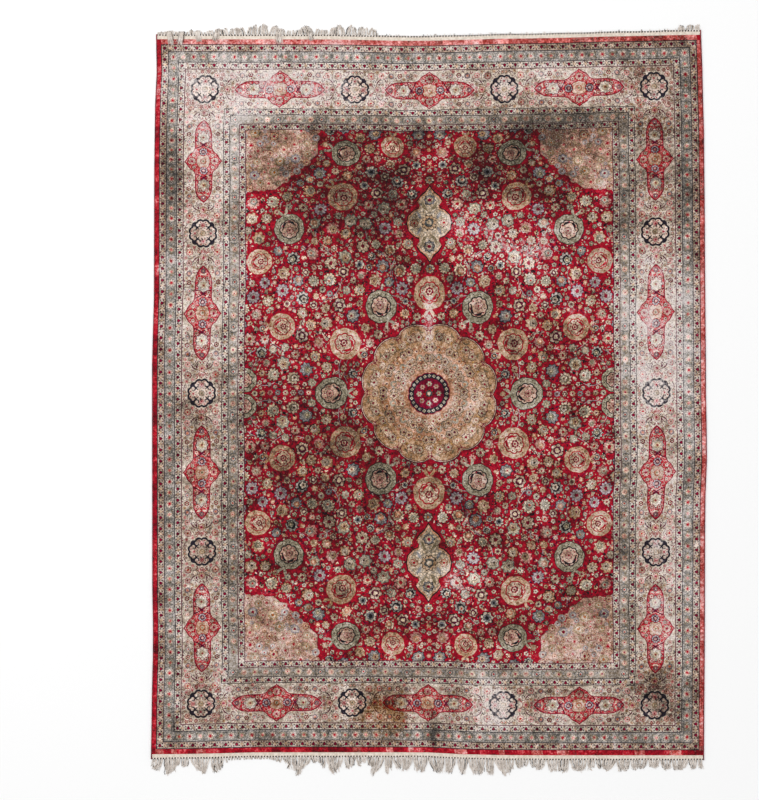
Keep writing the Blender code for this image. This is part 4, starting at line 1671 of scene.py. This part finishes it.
@dataclass
class KnottedSlab:
    """A closed layer of the rug whose front or back carries a part of the chart."""

    name: str
    window: Window
    low: float
    high: float | None  # None for the swelling top of the pile
    side: Side = Side.FRONT
    fold_across: bool = False  # the colour map lies in two rows, cut at X = 0
    fold_along: bool = False  # the same, cut at Y = 0
    smallest: float = 0.0
    rim: float = 0.0016  # rounding of the pile at the rug's outer edge
    seed: int = 3
    dye_drift: float = 0.15
    widest_drift: float = 0.12  # wider areas keep their dye's own tone

    def build(self, chart: Chart, material: Material) -> Piece:
        """Cuts the chart, lays it on the rug and closes it to a slab.

        Args:
            chart: the whole pattern.
            material: the silk's finish.

        Returns:
            The finished piece.
        """
        cut = chart.cut(self.window, self.smallest)
        placed = PLAN.place(cut.points)
        heights = self.face_heights(cut.points, placed)
        mesh = bpy.data.meshes.new(self.name)
        triangles = cut.triangles if self.side is Side.FRONT else cut.triangles[:, ::-1]
        mesh.from_pydata(np.column_stack([placed, heights]).tolist(), [], triangles.tolist())
        piece = link(bpy.data.objects.new(self.name, mesh))
        mesh.materials.append(material)
        self.write_pattern(mesh, chart, cut)
        self.write_map(mesh, cut)
        self.close(piece)
        self.write_sheen_shade_and_stain(mesh)
        LOG.info("%s: %d faces", self.name, len(mesh.polygons))
        return piece

    def face_heights(self, flat: np.ndarray, placed: np.ndarray) -> np.ndarray:
        """Heights of the patterned face, rounded off at the rug's outer edge.

        Args:
            flat: points of the true rectangle.
            placed: the same on the rug.

        Returns:
            The height at each point.
        """
        if self.side is Side.BACK:
            return np.full(len(flat), self.low)
        inside = np.minimum(PLAN.panel_half - np.abs(flat[:, 0]), PLAN.half_length - np.abs(flat[:, 1]))
        short = np.clip(1 - inside / self.rim, 0, 1)
        return PLAN.pile_height(placed) - self.rim * (1 - np.sqrt(1 - short * short))

    def write_pattern(self, mesh: bpy.types.Mesh, chart: Chart, cut: Cut) -> None:
        """Writes each face's dyes and tracery, and each corner's place in its flower.

        Args:
            mesh: the patterned face.
            chart: the whole pattern.
            cut: the triangles and their patches.
        """
        drift = np.random.default_rng(self.seed).normal(1.0, self.dye_drift, (len(chart.patches), 1))
        wide = np.array([np.ptp(patch.points, axis=0).max() > self.widest_drift for patch in chart.patches])
        drift[wide] = 1.0
        linear_of = {dye: linear(dye.value) for dye in Dye}
        for column, name in enumerate(Tones._fields):
            dyes = np.array([linear_of[patch.tones[column]] for patch in chart.patches], np.float32)
            dyes[:, :3] *= np.clip(drift, 0.65, 1.3)
            write_attribute(mesh, name, "FLOAT_COLOR", "FACE", dyes[cut.shown])
        tracery = np.array([patch.tracery for patch in chart.patches], np.float32)
        write_attribute(mesh, "tracery", "FLOAT", "FACE", tracery[cut.shown])
        middles = np.array([patch.middle for patch in chart.patches])[cut.shown][:, None, :]
        axes = np.array([patch.axis for patch in chart.patches])[cut.shown][:, None, :]
        petals = np.array([patch.petals for patch in chart.patches], float)[cut.shown]
        offset = cut.points[cut.triangles] - middles
        size = (axes**2).sum(axis=2)
        along = (offset * axes).sum(axis=2) / size
        across = (offset[:, :, 1] * axes[:, :, 0] - offset[:, :, 0] * axes[:, :, 1]) / size
        motif = np.stack([along, across, np.repeat(petals[:, None], 3, axis=1)], axis=2)
        if self.side is Side.BACK:
            motif = motif[:, ::-1]
        write_attribute(mesh, "motif", "FLOAT_VECTOR", "CORNER", motif)

    def write_map(self, mesh: bpy.types.Mesh, cut: Cut) -> None:
        """Writes the flat map of the patterned face, long slabs folded into two rows.

        Args:
            mesh: the patterned face.
            cut: its points on the true plan.
        """
        corners = cut.points[cut.triangles] if self.side is Side.FRONT else cut.points[cut.triangles[:, ::-1]]
        size = np.array([self.window.right - self.window.left, self.window.top - self.window.bottom])
        share = (corners - (self.window.left, self.window.bottom)) / size
        for axis, folded in ((0, self.fold_across), (1, self.fold_along)):
            if folded:
                second = share[:, :, axis].mean(axis=1, keepdims=True) > 0.5
                share[:, :, axis] = share[:, :, axis] * 2 - second
                share[:, :, 1 - axis] = share[:, :, 1 - axis] * 0.49 + second * 0.5
        layer = mesh.uv_layers.new(name="OFBake")
        layer.uv.foreach_set("vector", (np.clip(share, 0, 1) * 0.985).astype(np.float32).ravel())

    def close(self, piece: Piece) -> None:
        """Extrudes the rim to the other height and fills it to a closed slab.

        Args:
            piece: the patterned face.
        """
        mesh = piece.data
        patterned = len(mesh.vertices)
        other = self.low if self.side is Side.FRONT else self.high
        select_only(piece)
        bpy.ops.object.mode_set(mode="EDIT")
        bpy.ops.mesh.select_mode(type="EDGE")
        bpy.ops.mesh.select_all(action="DESELECT")
        bpy.ops.mesh.select_non_manifold(extend=False, use_wire=False, use_boundary=True,
                                         use_multi_face=False,
                                         use_non_contiguous=False, use_verts=False)
        bpy.ops.mesh.extrude_edges_move(TRANSFORM_OT_translate={"value": (0, 0, 0)})
        bpy.ops.mesh.fill(use_beauty=False)
        bpy.ops.object.mode_set(mode="OBJECT")
        places = coordinates(mesh)
        places[patterned:, 2] = other
        mesh.vertices.foreach_set("co", places.ravel())
        mesh.update()

    def write_sheen_shade_and_stain(self, mesh: bpy.types.Mesh) -> None:
        """Writes how much painted sheen, painted shade and ochre stain lies on each point.

        Args:
            mesh: the slab.
        """
        x, y, _ = coordinates(mesh).T
        sheen_shade_and_stain = np.zeros((len(x), 3), np.float32)
        # Each patch adds painted sheen, painted shade and ochre stain, fading from its middle.
        for middle_x, middle_y, reach_x, reach_y, *effects in SHEEN_SHADE_AND_STAINS:
            away = ((x - middle_x) / reach_x) ** 2 + ((y - middle_y) / reach_y) ** 2
            sheen_shade_and_stain += np.exp(-1.1 * away * away)[:, None] * effects
        write_attribute(mesh, "sheen_shade_and_stain", "FLOAT_VECTOR", "POINT", sheen_shade_and_stain)


@dataclass(frozen=True)
class YarnFinish:
    """Silk yarn of one dye, twisted and uneven in tone."""

    name: str
    hex_colour: str
    dark_hex: str
    roughness: float
    tone_scale: float  # in tones to a metre

    def material(self) -> Material:
        """Builds the material: two tones of the yarn in soft patches, painted shade in the web's gaps between
        the knots, and fine twist as bump.

        Returns:
            The material.
        """
        made, tree, shader = start_material(self.name)
        place = add_node(tree, "TexCoord", output="Object")
        tones = add_node(tree, "TexNoise", (place, 0, self.tone_scale, 4.0, RAGGED))
        colour = lay(tree, linear(self.dark_hex), linear(self.hex_colour), (tones, 0.38, 0.64, 1.0))
        # Painted shade in the gaps between the web's warp knots; only the web carries this attribute.
        painted_gap_shade = add_node(tree, "Attribute", output="Fac", attribute_name="painted_gap_shade")
        colour = lay(tree, colour, linear("#17110F"), (painted_gap_shade, 0.20, 0.60, 0.95))
        tree.links.new(colour, shader["Base Color"])
        shader["Roughness"].default_value = self.roughness
        shader["Specular IOR Level"].default_value = 0.25
        twist = add_node(tree, "TexNoise", (place, 0, 900.0, 2.0, RAGGED))
        bump = add_node(tree, "Bump", {"Height": twist, "Strength": 0.4, "Distance": 0.0004})
        tree.links.new(bump, shader["Normal"])
        return made


def curve_piece(
    name: str, lines: list[np.ndarray], radii: list[np.ndarray], kinds: list[int], sides: int, silks: list
) -> Piece:
    """Makes closed round strands along lines and joins them to one mesh.

    Args:
        name: the piece's name.
        lines: the points of each strand's middle line.
        radii: the radius at each of those points.
        kinds: each strand's number in `silks`.
        sides: bevel steps round a strand, 0 for four sides and 2 for eight.
        silks: the materials.

    Returns:
        The piece.
    """
    curve = bpy.data.curves.new(name, "CURVE")
    curve.dimensions = "3D"
    curve.bevel_depth = 1.0
    curve.bevel_resolution = sides
    curve.use_fill_caps = True
    for silk in silks:
        curve.materials.append(silk)
    for line, radius, kind in zip(lines, radii, kinds):
        spline = curve.splines.new("POLY")
        spline.points.add(len(line) - 1)
        spline.points.foreach_set("co", np.column_stack([line, np.ones(len(line))]).ravel())
        spline.points.foreach_set("radius", radius)
        spline.material_index = kind
        spline.use_smooth = True
    piece = link(bpy.data.objects.new(name, curve))
    select_only(piece)
    bpy.ops.object.convert(target="MESH")
    bpy.ops.object.mode_set(mode="EDIT")
    bpy.ops.mesh.select_all(action="SELECT")
    bpy.ops.mesh.remove_doubles(threshold=0.00001)
    bpy.ops.mesh.normals_make_consistent(inside=False)
    bpy.ops.object.mode_set(mode="OBJECT")
    LOG.info("%s: %d strands, %d faces", name, len(lines), len(piece.data.polygons))
    return piece


@dataclass
class SideCord:
    """The overcast cord along one long side: bundled warps with dark red silk wound over them."""

    name: str
    side: int
    turn_pitch: float = 0.006  # real turns are 2 mm apart, wound wider here so that they show
    thickness: float = 0.0054
    groove: float = 0.84  # radius between two turns as a share of that on them

    def build(self, silk: Material) -> Piece:
        """Winds the cord past both end webs.

        Args:
            silk: its finish.

        Returns:
            The cord.
        """
        past = PLAN.web_width + PLAN.gap
        corner = np.array([(self.side + 1) / 2])
        low = PLAN.end_y(-1, corner)[0] - past
        high = PLAN.end_y(1, corner)[0] + past
        turns = round((high - low) / self.turn_pitch)
        y = np.linspace(low, high, 2 * turns + 1)
        along = np.clip((y - low - past) / (high - low - 2 * past), 0, 1)
        x = PLAN.side_x(self.side, along) - self.side * self.thickness / 2
        radius = np.where(np.arange(len(y)) % 2 == 1, self.thickness / 2, self.thickness / 2 * self.groove)
        line = np.column_stack([x, y, np.full(len(y), self.thickness / 2 + 0.0001)])
        return curve_piece(self.name, [line], [radius], [0], 2, [silk])


@dataclass
class EndWeb:
    """The plain-woven strip past one end of the pile, with the row of warp knots near its outer edge."""

    name: str
    side: int
    knot_pitch: float = 0.0135
    columns_to_knot: int = 4
    rows: int = 5
    gap_shade_start: float = 0.62  # share of the web's width where the painted shade in the gaps between the knots begins
    knot_at: float = 0.84
    knot_width: float = 0.0078
    knot_length: float = 0.0082
    knot_height: float = 0.0042

    def span(self) -> tuple[float, float]:
        """X of the web's left and right end.

        Returns:
            Both in metres.
        """
        end = np.array([(self.side + 1) / 2])
        inset = PLAN.cord_width + PLAN.gap
        return PLAN.side_x(-1, end)[0] + inset, PLAN.side_x(1, end)[0] - inset

    def place(self, x: np.ndarray, share: np.ndarray) -> np.ndarray:
        """Y on the web at X and at a share of its width from the pile outwards.

        Args:
            x: the points' X.
            share: their shares.

        Returns:
            Their Y.
        """
        left, right = self.span()
        ripple = PLAN.web_width + 0.0008 * np.sin(math.tau * x / 0.27)
        return PLAN.end_y(self.side, (x - left) / (right - left)) + self.side * (PLAN.gap + share * ripple)

    def build(self, silk: Material) -> Piece:
        """Weaves the strip.

        Args:
            silk: its finish.

        Returns:
            The strip.
        """
        left, right = self.span()
        columns = self.columns_to_knot * round((right - left) / self.knot_pitch)
        bpy.ops.mesh.primitive_grid_add(x_subdivisions=columns, y_subdivisions=self.rows, size=1)
        web = bpy.context.object
        web.name = self.name
        mesh = web.data
        mesh.name = self.name
        flat = coordinates(mesh)
        column = np.rint((flat[:, 0] + 0.5) * columns)
        share = np.clip(flat[:, 1] * self.side + 0.5, 0, 1)
        x = left + (right - left) * column / columns
        # Painted shade in the gaps, strongest halfway between two knots and none at a knot.
        shade_between_knots = np.array([1.0, 0.7, 0.0, 0.7])[column.astype(int) % self.columns_to_knot]
        painted_gap_shade = shade_between_knots * (share > self.gap_shade_start)
        woven = np.column_stack([x, self.place(x, share), 0 * x]).astype(np.float32)
        mesh.vertices.foreach_set("co", woven.ravel())
        write_attribute(mesh, "painted_gap_shade", "FLOAT", "POINT", painted_gap_shade)
        select_only(web)
        bpy.ops.object.mode_set(mode="EDIT")
        bpy.ops.mesh.select_all(action="SELECT")
        bpy.ops.mesh.extrude_region_move(TRANSFORM_OT_translate={"value": (0, 0, PLAN.web_thickness)})
        bpy.ops.mesh.select_all(action="SELECT")
        bpy.ops.mesh.normals_make_consistent(inside=False)
        bpy.ops.object.mode_set(mode="OBJECT")
        mesh.materials.append(silk)
        LOG.info("%s: %d faces", self.name, len(mesh.polygons))
        return web

    def build_knots(self, silk: Material) -> Piece:
        """Ties the row of warp knots, copies of one small rounded knot joined to one mesh.

        Args:
            silk: their finish.

        Returns:
            The row of knots.
        """
        left, right = self.span()
        count = round((right - left) / self.knot_pitch)
        bpy.ops.mesh.primitive_uv_sphere_add(segments=8, ring_count=5, radius=0.5)
        knot = bpy.context.object
        shape = np.array([vertex.co for vertex in knot.data.vertices])
        faces = [tuple(face.vertices) for face in knot.data.polygons]
        bpy.data.objects.remove(knot)
        draw = np.random.default_rng(17 + self.side)
        places, all_faces = [], []
        for number in range(count):
            x = left + (right - left) * (number + 0.5) / count + draw.normal(0, 0.0006)
            y = self.place(np.array([x]), np.array([self.knot_at]))[0] + draw.normal(0, 0.0010)
            size = draw.uniform(0.8, 1.15, 3) * (self.knot_width, self.knot_length, self.knot_height)
            all_faces += [tuple(corner + number * len(shape) for corner in face) for face in faces]
            places.append(shape * size + (x, y, PLAN.web_thickness * 0.5 + size[2] / 2))
        mesh = bpy.data.meshes.new(self.name + "_knots")
        mesh.from_pydata(np.concatenate(places).tolist(), [], all_faces)
        mesh.shade_smooth()
        mesh.materials.append(silk)
        return link(bpy.data.objects.new(mesh.name, mesh))


# Bunches of warp ends folded back over the rug: X, reach back past the web, and lean to +X.
FOLDED_LOCKS = (
    (-1.215, 0.030, 0.012), (-1.150, 0.026, -0.015), (-1.085, 0.012, 0.014), (-0.990, 0.008, -0.010),
    (-0.705, 0.024, 0.004), (-0.560, 0.006, 0.012),
)


@dataclass
class Fringe:
    """The loose warp ends past one web, in limp bunches of strands that lie over one another."""

    web: EndWeb
    stations: tuple
    folded: tuple = ()
    positions: int = 190
    locks_to_position: int = 2
    strands_to_lock: int = 4
    clump_sizes: tuple = (4, 6, 3, 7, 5, 6, 4)
    thickness: float = 0.0031
    seed: int = 23
    shares: np.ndarray = field(default_factory=lambda: np.linspace(0, 1, 8))

    def reach_and_lean(self, along: float) -> tuple[float, float]:
        """How far the fringe reaches, and leans to +X, at a share of the end's width.

        Args:
            along: the share.

        Returns:
            Reach and lean in metres.
        """
        rows = self.stations
        for (start, *before), (end, *after) in zip(rows, rows[1:]):
            if along <= end:
                share = max(0.0, (along - start) / (end - start))
                eased = share * share * (3 - 2 * share)
                return tuple(low + (high - low) * eased for low, high in zip(before, after))
        return rows[-1][1:]

    def clump_middles(self) -> list[tuple[float, float]]:
        """For each position, the middle of its clump and the clump's sway to +X.

        Returns:
            A pair for each position.
        """
        middles = []
        start = clump = 0
        while start < self.positions:
            size = min(self.clump_sizes[clump % len(self.clump_sizes)], self.positions - start)
            middles += [(start + (size - 1) / 2, 0.007 * math.sin(2.4 * clump))] * size
            start += size
            clump += 1
        return middles

    def build(self, silks: list[Material]) -> Piece:
        """Lays out the strands of every lock, those folded back over the rug included.

        Args:
            silks: the finishes of its strands.

        Returns:
            The fringe.
        """
        draw = np.random.default_rng(self.seed + self.web.side)
        left, right = self.web.span()
        pitch = (right - left) / self.positions
        lines, radii, kinds = [], [], []
        for position, (middle, sway) in enumerate(self.clump_middles()):
            for _ in range(self.locks_to_position * self.strands_to_lock):
                place = position + 0.5 + draw.normal(0, 0.17)
                reach, lean = self.reach_and_lean(place / self.positions)
                reach *= (1 + 0.14 * math.sin(1.9 * position)) * draw.uniform(0.84, 1.04)
                if reach < 0.004 and draw.uniform() > 0.06:
                    continue
                reach = max(reach, 0.005)
                loose = min(1.0, reach / 0.050)
                shift = loose * (0.60 * (middle - position) * pitch + sway + lean + draw.normal(0, 0.0055))
                root = left + (right - left) * place / self.positions
                # The third, dark silk lies low between the pale strands: soiled silk, and painted shade in
                # the gaps between the bunches.
                kinds.append(int(draw.choice(len(silks), p=(0.54, 0.30, 0.16))))
                lines.append(self.strand(draw, root, reach, shift, loose, 0.3 if kinds[-1] == 2 else 1.0))
        for lock in self.folded:
            for _ in range(28):
                lines.append(self.folded_strand(draw, lock))
                kinds.append(int(draw.choice(len(silks), p=(0.54, 0.36, 0.10))))
        for line in lines:
            radii.append(self.thickness / 2 * draw.uniform(0.7, 1.25) * np.linspace(1.0, 0.62, len(line)))
        name = self.web.name.replace("end_web", "fringe")
        return curve_piece(name, lines, radii, kinds, 0, silks)

    def strand(
        self, draw: np.random.Generator, root: float, reach: float, shift: float, loose: float, rise: float
    ) -> np.ndarray:
        """One strand's middle line, from under the web's knots to its tip on the floor.

        Args:
            draw: the drawing of its ways.
            root: X of its root.
            reach: how far it reaches past the web.
            shift: how far its tip lies to +X of its root.
            loose: how freely it waves, from 0 to 1.
            rise: how far it rises over the floor, as a share.

        Returns:
            Its points.
        """
        t = self.shares
        start = self.web.place(np.array([root]), np.array([0.93]))[0]
        wave = 0.0034 * loose * np.sin(math.tau * (t * draw.uniform(0.9, 2.2) + draw.uniform(0, 1))) * t**0.5
        x = root + shift * t**2 + wave
        y = start + self.web.side * (reach + 0.004) * t
        z = 0.0013 + rise * draw.uniform(0.0, 0.0034) * np.sin(math.pi * np.clip(t * 0.8 + 0.2, 0, 1))
        return np.column_stack([x, y, z])

    def folded_strand(self, draw: np.random.Generator, lock: tuple) -> np.ndarray:
        """One strand that loops out past the web and lies back over web and pile.

        Args:
            draw: the drawing of its ways.
            lock: its row of FOLDED_LOCKS.

        Returns:
            Its points.
        """
        x, reach, lean = lock
        root = x + draw.normal(0, 0.005)
        out = draw.uniform(0.006, 0.016)
        back = (reach + PLAN.web_width) * draw.uniform(0.65, 1.05)
        edge = self.web.place(np.array([root]), np.array([1.0]))[0]
        steps = (
            (0.0, -0.004, 0.0016), (0.10, 0.6 * out, 0.0022), (0.25, out, 0.0036), (0.40, 0.3 * out, 0.0060),
            (0.60, -0.45 * back, 0.0072), (0.80, -0.75 * back, 0.0078), (1.0, -back, 0.0074),
        )
        lean += draw.normal(0, 0.006)
        rise = draw.uniform(0.0, 0.0016)
        return np.array([(root + lean * t, edge + self.web.side * y, z + rise * t) for t, y, z in steps])


def stage_floor() -> None:
    """Adds the pale floor and the soft studio light."""
    bpy.ops.mesh.primitive_plane_add(size=14, location=(0, 0, -0.0005))
    floor = bpy.context.object
    floor.name = "floor"
    paint = bpy.data.materials.new("matt white floor paint")
    paint.use_nodes = True
    shader = paint.node_tree.nodes["Principled BSDF"]
    shader.inputs["Base Color"].default_value = linear("#FDFDFD")
    shader.inputs["Roughness"].default_value = 0.9
    floor.data.materials.append(paint)
    world = bpy.data.worlds.new("soft studio")
    bpy.context.scene.world = world
    world.use_nodes = True
    background = world.node_tree.nodes["Background"]
    background.inputs["Color"].default_value = (1, 1, 1, 1)
    background.inputs["Strength"].default_value = 0.90
    lamp = bpy.data.lights.new("soft box", "AREA")
    lamp.shape = "RECTANGLE"
    lamp.size = 3.0
    lamp.size_y = 3.0
    lamp.energy = 75
    softbox = link(bpy.data.objects.new("soft box", lamp))
    softbox.location = (-3.4, 3.0, 4.2)
    softbox.rotation_euler = Vector(-softbox.location).to_track_quat("-Z", "Y").to_euler()


def place_camera() -> None:
    """Adds the camera, straight above, framed as the photograph is."""
    lens = bpy.data.cameras.new("camera")
    lens.lens = 100
    lens.sensor_width = 36
    view_height = FRAME_HEIGHT * METRES_PER_PIXEL
    camera = link(bpy.data.objects.new("camera", lens))
    x = (FRAME_WIDTH / 2 - RUG_MIDDLE_PIXEL[0]) * METRES_PER_PIXEL
    y = (RUG_MIDDLE_PIXEL[1] - FRAME_HEIGHT / 2) * METRES_PER_PIXEL
    camera.location = (x, y, view_height * lens.lens / lens.sensor_width)
    bpy.context.scene.camera = camera


def lay_pile(chart: Chart) -> list[Piece]:
    """Builds the clipped pile in six pieces.

    Args:
        chart: the whole pattern.

    Returns:
        The pieces.
    """
    # Clipped silk gives the eye a soft gloss, knots a little lighter and darker with painted highlights among
    # them, and patches of painted silvery sheen and painted shade.
    pile_silk = SilkFinish("clipped silk pile", 0.5, 0.03, 0.35, 0.30).material()
    half, end = PLAN.panel_half, PLAN.half_length
    seam_x, seam_y = PLAN.width / 2 - PLAN.seam, end - PLAN.seam
    windows = (
        ("field_lower", Window(-seam_x, -seam_y, seam_x, 0), {}),
        ("field_upper", Window(-seam_x, 0, seam_x, seam_y), {}),
        ("border_bottom", Window(-half, -end, half, -seam_y), {"fold_across": True}),
        ("border_top", Window(-half, seam_y, half, end), {"fold_across": True}),
        ("border_left", Window(-half, -seam_y, -seam_x, seam_y), {"fold_along": True}),
        ("border_right", Window(seam_x, -seam_y, half, seam_y), {"fold_along": True}),
    )
    pieces = []
    for word, window, folds in windows:
        piece = KnottedSlab(f"pile_{word}", window, PLAN.foundation, None, **folds).build(chart, pile_silk)
        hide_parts("pile_panel")
        pieces.append(piece)
    return pieces


def lay_foundation(chart: Chart) -> Piece:
    """Builds the foundation, whose back shows the larger shapes of the pattern.

    Args:
        chart: the whole pattern.

    Returns:
        The piece.
    """
    # The unclipped back is matt and grainy to the eye, in the pile's colours, under the same painted sheen
    # and shade patches as the front.
    back_silk = SilkFinish("knotted silk back", 0.75, 0.0, 0.9, 0.34).material()
    whole = Window(-PLAN.panel_half, -PLAN.half_length, PLAN.panel_half, PLAN.half_length)
    back = KnottedSlab("foundation_sheet", whole, 0.0, PLAN.foundation, Side.BACK, smallest=0.034)
    foundation = back.build(chart, back_silk)
    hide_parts("pile_panel")
    return foundation


def wind_cords() -> list[Piece]:
    """Winds both side cords.

    Returns:
        The left and the right one.
    """
    # Wound yarn gives the eye a dark red edge with a soft shine on every turn.
    cord_silk = YarnFinish("dark red overcasting silk", "#A22A33", "#5A121D", 0.5, 14.0).material()
    cords = []
    for side, word in ((-1, "left"), (1, "right")):
        cord = SideCord(f"side_cord_{word}", side).build(cord_silk)
        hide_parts(f"selvedge_{word}")
        cords.append(cord)
    return cords


def weave_ends() -> list[Piece]:
    """Weaves both end webs and lays out their warp knots and fringes.

    Returns:
        The three pieces of the bottom end and those of the top.
    """
    # Undyed weave is a flat pale strip to the eye, with painted shade in the gaps between the knots.
    web_silk = YarnFinish("plain-woven warp silk", "#EDE2D5", "#D6C8B8", 0.6, 60.0).material()
    # Loose ends are nearly white strands, among them greyed ones and a few dark ones that lie low between the
    # others: soiled silk, and painted shade in the gaps between the bunches.
    warp_silks = [
        YarnFinish("loose silk warp, pale", "#F4ECE5", "#DACEC4", 0.55, 40.0).material(),
        YarnFinish("loose silk warp, greyed", "#E2D8CE", "#B5A99E", 0.6, 40.0).material(),
        YarnFinish("loose silk warp, soiled and painted shade", "#5B4F47", "#251E1A", 0.65, 40.0).material(),
    ]
    pieces = []
    for side, word, stations, folded in (
        (-1, "bottom", BOTTOM_FRINGE, ()),
        (1, "top", TOP_FRINGE, FOLDED_LOCKS),
    ):
        web = EndWeb(f"end_web_cloth_{word}", side)
        made = [web.build(web_silk), web.build_knots(warp_silks[0])]
        made.append(Fringe(web, stations, folded).build(warp_silks))
        for piece in made:
            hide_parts(f"end_web_{word}")
        pieces += made
    return pieces


def main() -> None:
    """Builds and dresses the rug, piece by piece."""
    logging.basicConfig(level=logging.INFO, format="%(name)s: %(message)s")
    bpy.context.scene.view_settings.view_transform = "Standard"
    place_camera()
    stage_floor()
    chart = Chart()
    Field().draw(chart)
    Borders().draw(chart)
    LOG.info("chart: %d patches", len(chart.patches))
    upper = lay_pile(chart)
    foundation = lay_foundation(chart)
    upper += wind_cords() + weave_ends()
    for piece in (foundation, *upper):
        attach(piece, "root")


if __name__ == "__main__":
    main()
